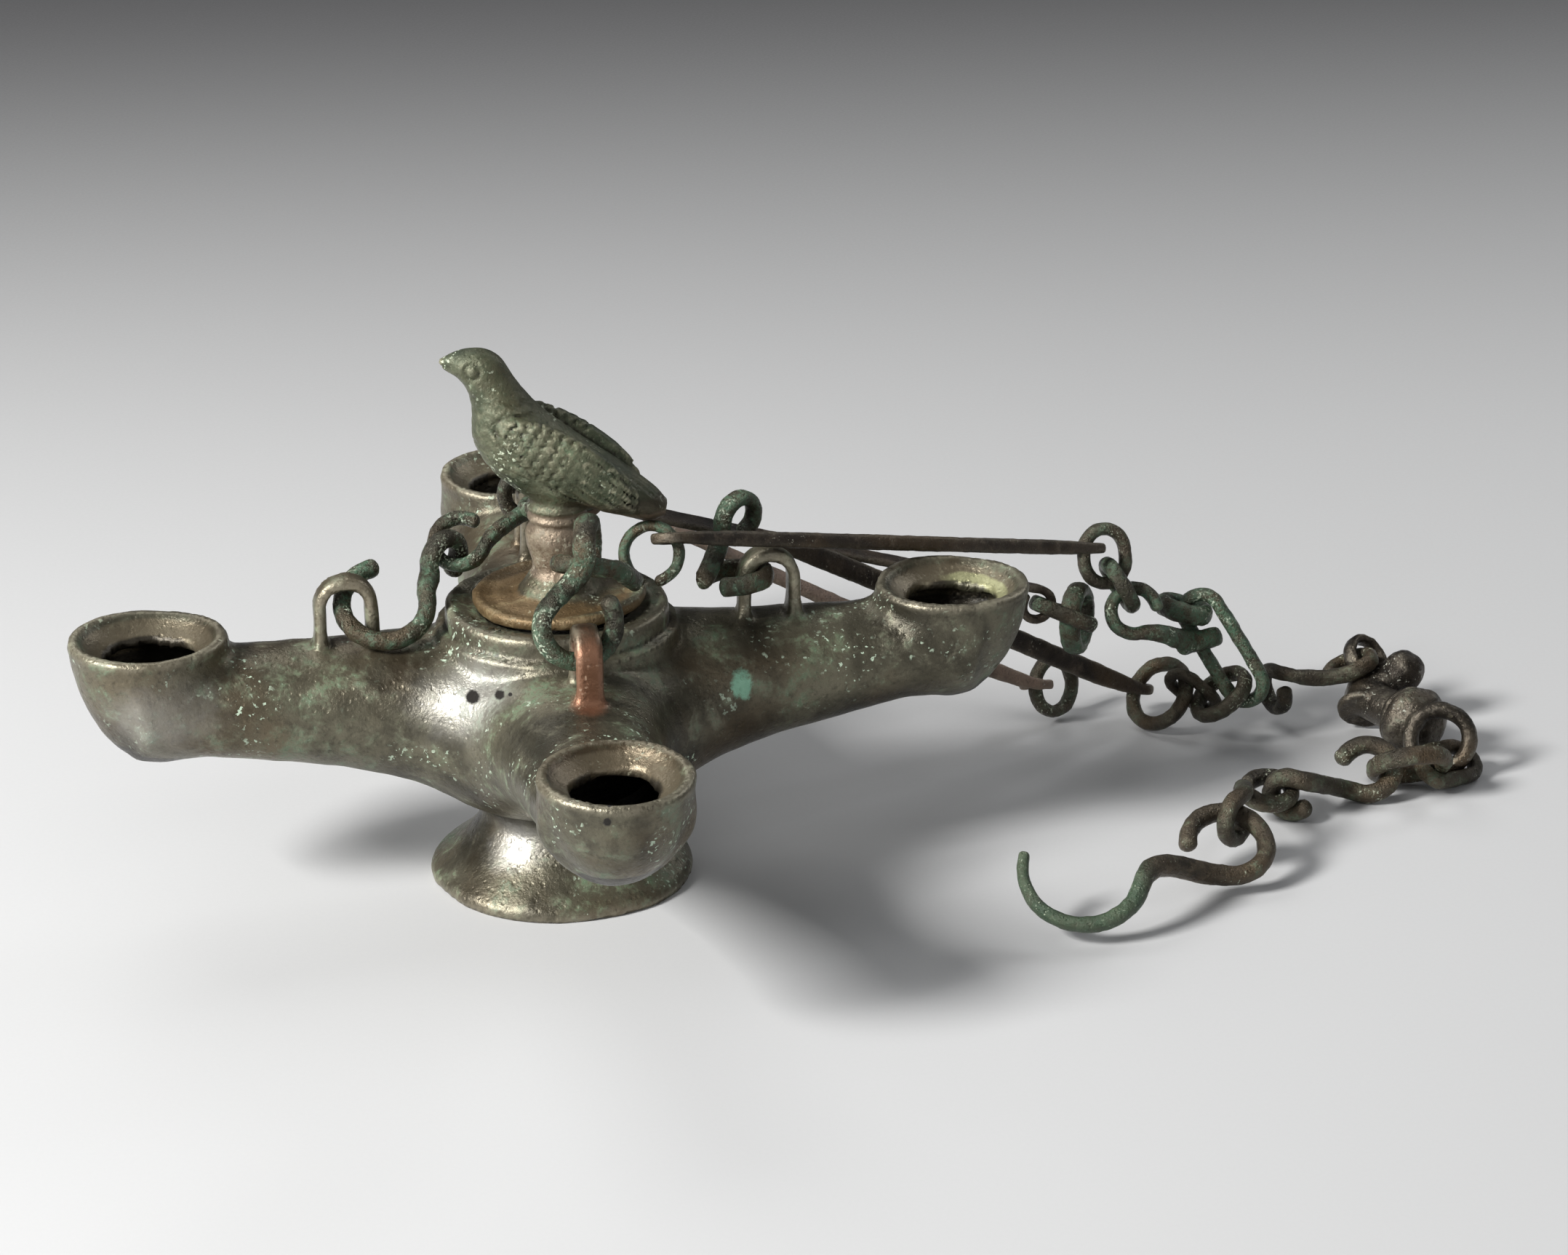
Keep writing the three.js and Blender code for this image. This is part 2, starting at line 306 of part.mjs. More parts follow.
const CHAIN = {
  link_a1: {
    from: { at: [-39.7, 0.54, 69.93], axis: [-0.016, -0.621, 0.784], side: [0.99, 0.099, 0.098], bend: 9.9, sweep: 266 },
    to: { at: [-24.67, 10.65, 76.32], axis: [-0.631, 0.772, 0.084], side: [-0.755, -0.585, -0.298], bend: 4.9, sweep: 250 },
    width: 4.8, thickness: 4.3, shankWidth: 5.08, shankThickness: 4.83, finish: 'patina',
  },
  link_a2: {
    from: { at: [-20.8, 12.69, 79.37], axis: [-0.185, -0.688, 0.701], side: [0.904, -0.4, -0.154], bend: 6.1, sweep: 288 },
    to: { at: [-0.64, 17.77, 85.2], axis: [-0.116, 0.073, 0.991], side: [-0.106, 0.991, -0.086], bend: 4.3, sweep: 270 },
    width: 3.7, thickness: 3.3, shankWidth: 4.06, shankThickness: 3.81, finish: 'patina',
  },
  rod_left: {
    from: { at: [3.11, 16.31, 85.82], axis: [0.313, 0.945, 0.09], side: [0.36, -0.206, 0.91], bend: 3.4, sweep: 280 },
    to: { at: [124.58, 38.1, 42.65], axis: [-0.155, 0.988, -0.01], side: [0.325, 0.06, 0.944], bend: 4, sweep: 290 },
    width: 2.5, thickness: 2.2, shankWidth: 6.2, shankThickness: 2.2, slack: 0.25, long: true, finish: 'rod',
  },
  link_b1: {
    from: { at: [-0.11, -38.18, 77.75], axis: [-0.145, 0.94, -0.31], side: [-0.98, -0.18, -0.086], bend: 8.6, sweep: 200 },
    to: { at: [3.8, -27.72, 92.22], axis: [-0.961, 0.274, -0.02], side: [-0.261, -0.932, -0.25], bend: 5.2, sweep: 255 },
    width: 5.33, thickness: 4.32, finish: 'patina',
  },
  link_b2: {
    from: { at: [3.9, -23.25, 85.31], axis: [0.174, 0.39, 0.904], side: [0.809, -0.58, 0.094], bend: 6.8, sweep: 285 },
    to: { at: [21.04, -9.15, 81.73], axis: [0.296, 0.902, -0.313], side: [-0.798, 0.054, -0.6], bend: 6.5, sweep: 290 },
    width: 4, thickness: 2.7, shankWidth: 4.83, shankThickness: 3.3, finish: 'patina',
  },
  rod_front: {
    from: { at: [25.72, -9.35, 85.22], axis: [0.033, 0.398, 0.917], side: [0.469, -0.816, 0.337], bend: 3.8, sweep: 270 },
    to: { at: [137.78, 42.48, 54.88], axis: [0.033, 0.398, 0.917], side: [0.469, -0.816, 0.337], bend: 4, sweep: 270 },
    width: 2.6, thickness: 2.3, shankWidth: 3.8, shankThickness: 2.8, slack: 0.25, long: true, finish: 'rod',
  },
  link_c1: {
    from: { at: [42.01, -0.24, 70.84], axis: [-0.075, 0.114, 0.991], side: [-0.975, 0.202, -0.097], bend: 7.6, sweep: 285 },
    to: { at: [44.68, 10.58, 81.81], axis: [-0.496, 0.86, 0.12], side: [-0.857, -0.462, -0.229], bend: 4.9, sweep: 255 },
    width: 4.83, thickness: 3.56, finish: 'patina',
  },
  rod_right: {
    from: { at: [46.98, 11.53, 75.96], axis: [0.027, 0.373, 0.927], side: [0.536, -0.788, 0.302], bend: 3.3, sweep: 270 },
    to: { at: [157.16, 60.54, 8.13], axis: [0.161, 0.3, 0.94], side: [0.493, -0.85, 0.187], bend: 3.6, sweep: 280 },
    width: 2.6, thickness: 2.2, shankWidth: 5.4, shankThickness: 2.3, slack: 0.25, long: true, finish: 'rod',
  },
  link_d1: {
    from: { at: [0.11, 48.39, 76.63], axis: [0.117, 0.992, 0.04], side: [0.497, -0.093, 0.863], bend: 6.2, sweep: 290 },
    to: { at: [9.85, 45.68, 75.52], axis: [0.249, 0.231, 0.94], side: [0.066, 0.965, -0.255], bend: 4.1, sweep: 270 },
    width: 4.06, thickness: 3.81, finish: 'patina',
  },
  rod_back: {
    from: { at: [13.47, 45.54, 74.83], axis: [0.075, 0.997, 0.004], side: [0.482, -0.04, 0.875], bend: 3.2, sweep: 270 },
    to: { at: [130.73, 60.9, 10.99], axis: [0.047, 0.376, 0.926], side: [0.304, -0.888, 0.345], bend: 3.5, sweep: 280 },
    width: 2.5, thickness: 2.2, shankWidth: 4.6, shankThickness: 2.4, slack: 0.25, long: true, finish: 'rod',
  },
  ring_p9: { at: [136.01, 63.72, 9.21], axis: [0.532, -0.804, 0.265], bend: 6.8, width: 3.8, thickness: 3.3, along: [0.942, 0.329, 0.06], finish: 'rod' },
  ring_p1: { at: [142.8, 42.99, 52.4], axis: [0.158, -0.942, 0.295], bend: 5.6, width: 4, thickness: 3.3, straight: 1.3, along: [-0.015, 0.198, 0.98], finish: 'patina' },
  ring_p2: { at: [146.34, 40.99, 45.19], axis: [0.877, 0.069, 0.475], bend: 6.2, width: 4.1, thickness: 3.6, along: [0.823, 0.473, -0.316], finish: 'patina' },
  link_p3: {
    from: { at: [149.57, 38.34, 39.03], axis: [-0.174, -0.931, 0.32], side: [0.146, -0.346, -0.927], bend: 5.8, sweep: 270 },
    to: { at: [169.8, 48.56, 25.19], axis: [-0.183, 0.466, 0.866], side: [-0.009, -0.881, 0.472], bend: 4.5, sweep: 270 },
    width: 5, thickness: 3.5, shankWidth: 5.84, shankThickness: 4.32, finish: 'patina',
  },
  ring_p4: { at: [166.29, 51.51, 33], axis: [0.26, 0.119, 0.958], bend: 5.6, width: 5.33, thickness: 4.06, along: [0.975, -0.093, -0.2], finish: 'patina' },
  ring_p5: { at: [175.36, 45.56, 24.1], axis: [-0.369, -0.907, 0.202], bend: 4.7, width: 4.5, thickness: 3.6, straight: 10.6, along: [0.572, 0.509, -0.643], finish: 'patina' },
  ring_p6: { at: [174.82, 43.99, 12], axis: [-0.618, 0.005, 0.786], bend: 7.4, width: 4.32, thickness: 3.56, along: [0.98, -0.034, 0.194], finish: 'patina' },
  ring_p8: { at: [161.51, 54.06, 8.98], axis: [-0.705, -0.392, 0.591], bend: 8.2, width: 3.81, thickness: 3.81, along: [0.634, -0.371, 0.679], finish: 'patina' },
  ring_p7: { at: [169.07, 49.57, 10.9], axis: [0.492, 0.748, 0.446], bend: 3.5, width: 3.05, thickness: 3.05, straight: 3.6, along: [0.679, -0.165, -0.715], finish: 'patina' },
  ring_p10: { at: [135.5, 40.48, 37.22], axis: [0.873, -0.486, 0.046], bend: 7.2, width: 5.33, thickness: 4.06, along: [0.984, 0.162, -0.074], finish: 'patina' },
  link_green: { at: [130.79, 36.11, 40.51], axis: [0.422, 0.236, 0.875], bend: 3.9, width: 4, thickness: 3.2, straight: 3.8, along: [0.828, -0.548, -0.123], finish: 'patina' },
  link_e1: {
    from: { at: [190.75, 49.84, 9.81], axis: [0.962, 0.25, 0.107], side: [-0.119, 0.033, 0.992], bend: 5.2, sweep: 280 },
    to: { at: [210.62, 48.99, 15.02], axis: [-0.384, 0.194, 0.903], side: [-0.563, -0.824, -0.062], bend: 5.8, sweep: 285 },
    width: 4.32, thickness: 3.56, finish: 'patina',
  },
  ring_h1: { at: [222.55, 6.66, 5.26], axis: [0.397, -0.434, 0.809], bend: 4.5, width: 4.06, thickness: 3.81, straight: 5, along: [0.834, 0.531, -0.152], finish: 'patina' },
  ring_h2: { at: [210.71, 1.38, 8.28], axis: [0.004, 0.636, 0.772], bend: 9, width: 4.83, thickness: 3.56, along: [0.997, 0.071, -0.001], finish: 'patina' },
  link_h3: {
    from: { at: [177.41, -7.53, 7.02], axis: [0.569, 0.815, 0.11], side: [0.013, -0.143, 0.99], bend: 4.8, sweep: 235 },
    to: { at: [200.59, 3.57, 6.98], axis: [-0.291, -0.604, 0.742], side: [-0.504, -0.562, -0.656], bend: 6.7, sweep: 262 },
    width: 4.83, thickness: 4.57, finish: 'patina',
  },
  link_h4: {
    from: { at: [172.97, -4.86, 7.37], axis: [0.034, 0.229, -0.973], side: [-0.87, -0.472, -0.142], bend: 5.6, sweep: 290 },
    to: { at: [157.19, -29.77, 12.83], axis: [0.697, -0.717, 0], side: [0.073, 0.071, 0.995], bend: 5.3, sweep: 235 },
    width: 4.32, thickness: 4.06, finish: 'patina',
  },
  hook: {
    from: { at: [153.14, -36.29, 9.41], axis: [0.016, 0.459, -0.888], side: [-0.028, -0.888, -0.46], bend: 9.4, sweep: 265 },
    to: { at: [113.66, -52.97, 13.87], axis: [0.121, 0.605, -0.787], side: [0.911, -0.383, -0.155], bend: 13.9, sweep: 180 },
    width: 4.95, thickness: 4.45, shankWidth: 5.33, shankThickness: 5.08, taper: 0.62, finish: 'hook',
  },
};

// ---------------------------------------------------------------- swivel, corroded into one piece
const SWIVEL = {
  loop: { at: [215.8, 52.53, 15], axis: [0.504, -0.568, 0.65], bend: 5.6, width: 4.2, thickness: 2.4 },
  bellTop: [214.16, 47.14, 11.56], bellMouth: [211.7, 39.05, 6.4], bellMiddle: [212.81, 42.69, 8.72],
  smallBead: [223.32, 44.52, 14.5], smallBeadRadius: 5.4, bigBead: [219.26, 24.12, 9.6], bigBeadRadius: 9.0,
  eyeRoot: [217.12, 15.62, 13.09], loopRoot: [214.51, 48.28, 12.29],
  endEye: { at: [222.21, 12.11, 9.6], axis: [-0.302, -0.855, 0.422], bend: 7.3, width: 4.8, thickness: 4.0 },
};
function swivel() {
  const along = (from, to, profile, segments) => {
    const d = V(to).sub(V(from)), len = d.length();
    const g = tidy(turned(profile.map(([r, t]) => [r, t * len]), segments));
    g.applyQuaternion(new THREE.Quaternion().setFromUnitVectors(new THREE.Vector3(0, 0, 1), d.normalize()));
    g.translate(...from);
    return solid(g);
  };
  const ball = (at, r, axis, flat) => {
    const g = new THREE.SphereGeometry(r, 8, 5);
    g.rotateX(Math.PI / 2); g.scale(1, 1, flat);
    g.applyQuaternion(new THREE.Quaternion().setFromUnitVectors(new THREE.Vector3(0, 0, 1), V(axis).normalize()));
    g.translate(...at);
    return solid(tidy(g));
  };
  const s = SWIVEL;
  const axis = V(s.bigBead).sub(V(s.endEye.at)).toArray();
  return union([
    solid(chainGeometry(s.loop)), solid(chainGeometry(s.endEye)),
    along(s.bellTop, s.bellMouth, [[0, 0], [3.2, 0], [5.4, 0.4], [7.0, 1], [0, 1]], 12),
    along(s.bellMiddle, s.bigBead, [[0, 0], [5.2, 0], [5.2, 1], [0, 1]], 8),
    ball(s.bigBead, s.bigBeadRadius, axis, 0.8), ball(s.smallBead, s.smallBeadRadius, axis, 0.95),
    along(s.smallBead, s.bellTop, [[0, 0], [3.2, 0], [3.2, 1], [0, 1]], 6),
    along(s.smallBead, s.bellMiddle, [[0, 0], [4.2, 0], [4.2, 1], [0, 1]], 8),
    along(s.bigBead, s.eyeRoot, [[0, 0], [3.2, 0], [2.2, 1], [0, 1]], 6),
    along(s.bellTop, s.loopRoot, [[0, 0], [2.6, 0], [1.9, 1], [0, 1]], 6),
  ]);
}

// ---------------------------------------------------------------- scene graph
const group = new THREE.Group();
const add = (name, geometry, colour, roughness = 0.55, metalness = 0.7) => {
  const g = geometry.index && !geometry.getAttribute('normal') ? geometry : geometry;
  g.computeVertexNormals();
  const mesh = new THREE.Mesh(g, new THREE.MeshStandardMaterial({ color: colour, roughness, metalness }));
  mesh.name = name;
  group.add(mesh);
};
add('lamp_body', geometryOf(lampBody()), COLOURS.bronze, 0.45, 0.8);
add('lid_with_bird', geometryOf(lidWithBird()), COLOURS.lid, 0.6, 0.6);
for (const [name, link] of Object.entries(CHAIN)) add(name, chainGeometry(link), COLOURS[link.finish], 0.65, 0.5);
add('swivel', geometryOf(swivel()), COLOURS.swivel, 0.5, 0.7);

export default group;
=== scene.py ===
import math
import bpy
import numpy as np
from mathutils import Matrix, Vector


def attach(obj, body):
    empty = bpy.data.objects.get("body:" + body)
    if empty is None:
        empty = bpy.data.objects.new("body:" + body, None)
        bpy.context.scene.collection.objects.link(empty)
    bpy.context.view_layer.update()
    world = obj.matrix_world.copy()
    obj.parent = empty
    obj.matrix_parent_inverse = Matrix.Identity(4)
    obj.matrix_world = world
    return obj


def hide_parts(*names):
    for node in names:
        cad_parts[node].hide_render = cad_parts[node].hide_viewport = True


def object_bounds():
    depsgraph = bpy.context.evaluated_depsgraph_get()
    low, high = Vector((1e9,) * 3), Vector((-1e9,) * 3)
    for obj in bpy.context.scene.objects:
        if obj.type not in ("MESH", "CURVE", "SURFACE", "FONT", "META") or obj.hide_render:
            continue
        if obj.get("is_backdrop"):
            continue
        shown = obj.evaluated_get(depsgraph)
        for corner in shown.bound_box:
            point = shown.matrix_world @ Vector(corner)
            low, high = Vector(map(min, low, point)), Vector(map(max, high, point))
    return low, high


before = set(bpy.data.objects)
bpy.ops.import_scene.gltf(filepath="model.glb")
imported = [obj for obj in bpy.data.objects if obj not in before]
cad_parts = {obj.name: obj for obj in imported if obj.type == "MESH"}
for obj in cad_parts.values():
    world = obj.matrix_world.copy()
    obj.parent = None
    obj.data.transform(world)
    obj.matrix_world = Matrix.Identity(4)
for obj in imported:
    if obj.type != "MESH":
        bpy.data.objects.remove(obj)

cad_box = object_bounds()
MM = 0.001
rng = np.random.default_rng(7)

# ------------------------------------------------------------------ named sizes, mm, as in the CAD
ARM_U = np.array([0.0, 20, 28, 40, 52, 64, 76, 86, 94, 100])
ARM_W = np.array([27.0, 26, 23, 19.6, 17.4, 16.2, 15.7, 15.6, 15.8, 15.8])
ARM_ZT = np.array([61.5, 61.8, 61.8, 61.5, 61.2, 61.2, 61.6, 62.6, 63.6, 63.6])
ARM_ZB = {"A": np.array([21.0, 22.0, 25.0, 29.5, 32.4, 34.6, 36.4, 38.0, 39.5, 40.5]),
          "B": np.array([21.0, 22.0, 25.0, 30.0, 34.0, 37.2, 40.2, 42.6, 44.5, 45.5]),
          "C": np.array([21.0, 22.0, 25.0, 29.6, 33.0, 35.8, 38.2, 40.2, 41.6, 42.6]),
          "D": np.array([21.0, 22.0, 25.0, 29.6, 33.0, 35.8, 38.2, 40.2, 41.6, 42.6])}
CUP_Z = {"A": 36.3, "B": 41.4, "C": 38.4, "D": 38.4}
ARM_DIR = {"A": (-1, 0), "B": (0, -1), "C": (1, 0), "D": (0, 1)}
ARM_N = 2.15
NOZ_U, RIM_Z, NOZ_L, NOZ_W = 94.1, 66.3, 17.9, 16.8
WALL = 2.6
HOLE_L, HOLE_W = 10.4, 9.4
DISH_L, DISH_W, DISH_D = 15.2, 14.1, 6.2
COLLAR_R, COLLAR_Z, COLLAR_IN = 26.1, 68.5, 17.8
SEAT_R, SEAT_Z = 21.6, 67.3
FLANGE_R, FLANGE_Z = 28.4, 63.4
BOWL_R, BOWL_Z, BOWL_H = 27.0, 42.5, 20.5
FOOT = [(0.0, 31.0), (1.2, 31.2), (2.6, 30.6), (4.2, 28.9), (6.5, 26.0), (9.0, 23.2), (12.0, 20.6), (15.0, 18.7), (18.0, 17.5), (21.0, 17.1), (25.0, 18.0)]
LUGS = {"A": (-48.8, 0.0), "B": (1.4, -39.5), "C": (50.0, 0.0), "D": (0.0, 49.0)}
LUG_BEND, LUG_W, LUG_T, LUG_Z = 5.9, 6.2, 3.0, 70.4
HEADING = 0.18387
CHAIN = {
  "link_a1": {
    "from": { "at": [-39.7, 0.54, 69.93], "axis": [-0.016, -0.621, 0.784], "side": [0.99, 0.099, 0.098], "bend": 9.9, "sweep": 266 },
    "to": { "at": [-24.67, 10.65, 76.32], "axis": [-0.631, 0.772, 0.084], "side": [-0.755, -0.585, -0.298], "bend": 4.9, "sweep": 250 },
    "width": 4.8, "thickness": 4.3, "shankWidth": 5.08, "shankThickness": 4.83, "finish": "patina",
  },
  "link_a2": {
    "from": { "at": [-20.8, 12.69, 79.37], "axis": [-0.185, -0.688, 0.701], "side": [0.904, -0.4, -0.154], "bend": 6.1, "sweep": 288 },
    "to": { "at": [-0.64, 17.77, 85.2], "axis": [-0.116, 0.073, 0.991], "side": [-0.106, 0.991, -0.086], "bend": 4.3, "sweep": 270 },
    "width": 3.7, "thickness": 3.3, "shankWidth": 4.06, "shankThickness": 3.81, "finish": "patina",
  },
  "rod_left": {
    "from": { "at": [3.11, 16.31, 85.82], "axis": [0.313, 0.945, 0.09], "side": [0.36, -0.206, 0.91], "bend": 3.4, "sweep": 280 },
    "to": { "at": [124.58, 38.1, 42.65], "axis": [-0.155, 0.988, -0.01], "side": [0.325, 0.06, 0.944], "bend": 4, "sweep": 290 },
    "width": 2.5, "thickness": 2.2, "shankWidth": 6.2, "shankThickness": 2.2, "slack": 0.25, "long": True, "finish": "rod",
  },
  "link_b1": {
    "from": { "at": [-0.11, -38.18, 77.75], "axis": [-0.145, 0.94, -0.31], "side": [-0.98, -0.18, -0.086], "bend": 8.6, "sweep": 200 },
    "to": { "at": [3.8, -27.72, 92.22], "axis": [-0.961, 0.274, -0.02], "side": [-0.261, -0.932, -0.25], "bend": 5.2, "sweep": 255 },
    "width": 5.33, "thickness": 4.32, "finish": "patina",
  },
  "link_b2": {
    "from": { "at": [3.9, -23.25, 85.31], "axis": [0.174, 0.39, 0.904], "side": [0.809, -0.58, 0.094], "bend": 6.8, "sweep": 285 },
    "to": { "at": [21.04, -9.15, 81.73], "axis": [0.296, 0.902, -0.313], "side": [-0.798, 0.054, -0.6], "bend": 6.5, "sweep": 290 },
    "width": 4, "thickness": 2.7, "shankWidth": 4.83, "shankThickness": 3.3, "finish": "patina",
  },
  "rod_front": {
    "from": { "at": [25.72, -9.35, 85.22], "axis": [0.033, 0.398, 0.917], "side": [0.469, -0.816, 0.337], "bend": 3.8, "sweep": 270 },
    "to": { "at": [137.78, 42.48, 54.88], "axis": [0.033, 0.398, 0.917], "side": [0.469, -0.816, 0.337], "bend": 4, "sweep": 270 },
    "width": 2.6, "thickness": 2.3, "shankWidth": 3.8, "shankThickness": 2.8, "slack": 0.25, "long": True, "finish": "rod",
  },
  "link_c1": {
    "from": { "at": [42.01, -0.24, 70.84], "axis": [-0.075, 0.114, 0.991], "side": [-0.975, 0.202, -0.097], "bend": 7.6, "sweep": 285 },
    "to": { "at": [44.68, 10.58, 81.81], "axis": [-0.496, 0.86, 0.12], "side": [-0.857, -0.462, -0.229], "bend": 4.9, "sweep": 255 },
    "width": 4.83, "thickness": 3.56, "finish": "patina",
  },
  "rod_right": {
    "from": { "at": [46.98, 11.53, 75.96], "axis": [0.027, 0.373, 0.927], "side": [0.536, -0.788, 0.302], "bend": 3.3, "sweep": 270 },
    "to": { "at": [157.16, 60.54, 8.13], "axis": [0.161, 0.3, 0.94], "side": [0.493, -0.85, 0.187], "bend": 3.6, "sweep": 280 },
    "width": 2.6, "thickness": 2.2, "shankWidth": 5.4, "shankThickness": 2.3, "slack": 0.25, "long": True, "finish": "rod",
  },
  "link_d1": {
    "from": { "at": [0.11, 48.39, 76.63], "axis": [0.117, 0.992, 0.04], "side": [0.497, -0.093, 0.863], "bend": 6.2, "sweep": 290 },
    "to": { "at": [9.85, 45.68, 75.52], "axis": [0.249, 0.231, 0.94], "side": [0.066, 0.965, -0.255], "bend": 4.1, "sweep": 270 },
    "width": 4.06, "thickness": 3.81, "finish": "patina",
  },
  "rod_back": {
    "from": { "at": [13.47, 45.54, 74.83], "axis": [0.075, 0.997, 0.004], "side": [0.482, -0.04, 0.875], "bend": 3.2, "sweep": 270 },
    "to": { "at": [130.73, 60.9, 10.99], "axis": [0.047, 0.376, 0.926], "side": [0.304, -0.888, 0.345], "bend": 3.5, "sweep": 280 },
    "width": 2.5, "thickness": 2.2, "shankWidth": 4.6, "shankThickness": 2.4, "slack": 0.25, "long": True, "finish": "rod",
  },
  "ring_p9": { "at": [136.01, 63.72, 9.21], "axis": [0.532, -0.804, 0.265], "bend": 6.8, "width": 3.8, "thickness": 3.3, "along": [0.942, 0.329, 0.06], "finish": "rod" },
  "ring_p1": { "at": [142.8, 42.99, 52.4], "axis": [0.158, -0.942, 0.295], "bend": 5.6, "width": 4, "thickness": 3.3, "straight": 1.3, "along": [-0.015, 0.198, 0.98], "finish": "patina" },
  "ring_p2": { "at": [146.34, 40.99, 45.19], "axis": [0.877, 0.069, 0.475], "bend": 6.2, "width": 4.1, "thickness": 3.6, "along": [0.823, 0.473, -0.316], "finish": "patina" },
  "link_p3": {
    "from": { "at": [149.57, 38.34, 39.03], "axis": [-0.174, -0.931, 0.32], "side": [0.146, -0.346, -0.927], "bend": 5.8, "sweep": 270 },
    "to": { "at": [169.8, 48.56, 25.19], "axis": [-0.183, 0.466, 0.866], "side": [-0.009, -0.881, 0.472], "bend": 4.5, "sweep": 270 },
    "width": 5, "thickness": 3.5, "shankWidth": 5.84, "shankThickness": 4.32, "finish": "patina",
  },
  "ring_p4": { "at": [166.29, 51.51, 33], "axis": [0.26, 0.119, 0.958], "bend": 5.6, "width": 5.33, "thickness": 4.06, "along": [0.975, -0.093, -0.2], "finish": "patina" },
  "ring_p5": { "at": [175.36, 45.56, 24.1], "axis": [-0.369, -0.907, 0.202], "bend": 4.7, "width": 4.5, "thickness": 3.6, "straight": 10.6, "along": [0.572, 0.509, -0.643], "finish": "patina" },
  "ring_p6": { "at": [174.82, 43.99, 12], "axis": [-0.618, 0.005, 0.786], "bend": 7.4, "width": 4.32, "thickness": 3.56, "along": [0.98, -0.034, 0.194], "finish": "patina" },
  "ring_p8": { "at": [161.51, 54.06, 8.98], "axis": [-0.705, -0.392, 0.591], "bend": 8.2, "width": 3.81, "thickness": 3.81, "along": [0.634, -0.371, 0.679], "finish": "patina" },
  "ring_p7": { "at": [169.07, 49.57, 10.9], "axis": [0.492, 0.748, 0.446], "bend": 3.5, "width": 3.05, "thickness": 3.05, "straight": 3.6, "along": [0.679, -0.165, -0.715], "finish": "patina" },
  "ring_p10": { "at": [135.5, 40.48, 37.22], "axis": [0.873, -0.486, 0.046], "bend": 7.2, "width": 5.33, "thickness": 4.06, "along": [0.984, 0.162, -0.074], "finish": "patina" },
  "link_green": { "at": [130.79, 36.11, 40.51], "axis": [0.422, 0.236, 0.875], "bend": 3.9, "width": 4, "thickness": 3.2, "straight": 3.8, "along": [0.828, -0.548, -0.123], "finish": "patina" },
  "link_e1": {
    "from": { "at": [190.75, 49.84, 9.81], "axis": [0.962, 0.25, 0.107], "side": [-0.119, 0.033, 0.992], "bend": 5.2, "sweep": 280 },
    "to": { "at": [210.62, 48.99, 15.02], "axis": [-0.384, 0.194, 0.903], "side": [-0.563, -0.824, -0.062], "bend": 5.8, "sweep": 285 },
    "width": 4.32, "thickness": 3.56, "finish": "patina",
  },
  "ring_h1": { "at": [222.55, 6.66, 5.26], "axis": [0.397, -0.434, 0.809], "bend": 4.5, "width": 4.06, "thickness": 3.81, "straight": 5, "along": [0.834, 0.531, -0.152], "finish": "patina" },
  "ring_h2": { "at": [210.71, 1.38, 8.28], "axis": [0.004, 0.636, 0.772], "bend": 9, "width": 4.83, "thickness": 3.56, "along": [0.997, 0.071, -0.001], "finish": "patina" },
  "link_h3": {
    "from": { "at": [177.41, -7.53, 7.02], "axis": [0.569, 0.815, 0.11], "side": [0.013, -0.143, 0.99], "bend": 4.8, "sweep": 235 },
    "to": { "at": [200.59, 3.57, 6.98], "axis": [-0.291, -0.604, 0.742], "side": [-0.504, -0.562, -0.656], "bend": 6.7, "sweep": 262 },
    "width": 4.83, "thickness": 4.57, "finish": "patina",
  },
  "link_h4": {
    "from": { "at": [172.97, -4.86, 7.37], "axis": [0.034, 0.229, -0.973], "side": [-0.87, -0.472, -0.142], "bend": 5.6, "sweep": 290 },
    "to": { "at": [157.19, -29.77, 12.83], "axis": [0.697, -0.717, 0], "side": [0.073, 0.071, 0.995], "bend": 5.3, "sweep": 235 },
    "width": 4.32, "thickness": 4.06, "finish": "patina",
  },
  "hook": {
    "from": { "at": [153.14, -36.29, 9.41], "axis": [0.016, 0.459, -0.888], "side": [-0.028, -0.888, -0.46], "bend": 9.4, "sweep": 265 },
    "to": { "at": [113.66, -52.97, 13.87], "axis": [0.121, 0.605, -0.787], "side": [0.911, -0.383, -0.155], "bend": 13.9, "sweep": 180 },
    "width": 4.95, "thickness": 4.45, "shankWidth": 5.33, "shankThickness": 5.08, "taper": 0.62, "finish": "hook",
  },
}
SWIVEL = {
  "loop": { "at": [215.8, 52.53, 15], "axis": [0.504, -0.568, 0.65], "bend": 5.6, "width": 4.2, "thickness": 2.4 },
  "bellTop": [214.16, 47.14, 11.56], "bellMouth": [211.7, 39.05, 6.4], "bellMiddle": [212.81, 42.69, 8.72],
  "smallBead": [223.32, 44.52, 14.5], "smallBeadRadius": 5.4, "bigBead": [219.26, 24.12, 9.6], "bigBeadRadius": 9.0,
  "eyeRoot": [217.12, 15.62, 13.09], "loopRoot": [214.51, 48.28, 12.29],
  "endEye": { "at": [222.21, 12.11, 9.6], "axis": [-0.302, -0.855, 0.422], "bend": 7.3, "width": 4.8, "thickness": 4.0 },
}


# ------------------------------------------------------------------ signed distances
def smin(a, b, k):
    h = np.clip(0.5 + 0.5 * (b - a) / k, 0, 1)
    return b + (a - b) * h - k * h * (1 - h)


def smax(a, b, k):
    return -smin(-a, -b, k)


def hermite(x, xs, ys):
    x = np.clip(x, xs[0], xs[-1])
    i = np.clip(np.searchsorted(xs, x, side="right") - 1, 0, len(xs) - 2)
    m = np.gradient(ys, xs)
    h = xs[i + 1] - xs[i]
    t = (x - xs[i]) / h
    t2, t3 = t * t, t * t * t
    return (2 * t3 - 3 * t2 + 1) * ys[i] + (t3 - 2 * t2 + t) * h * m[i] + (-2 * t3 + 3 * t2) * ys[i + 1] + (t3 - t2) * h * m[i + 1]


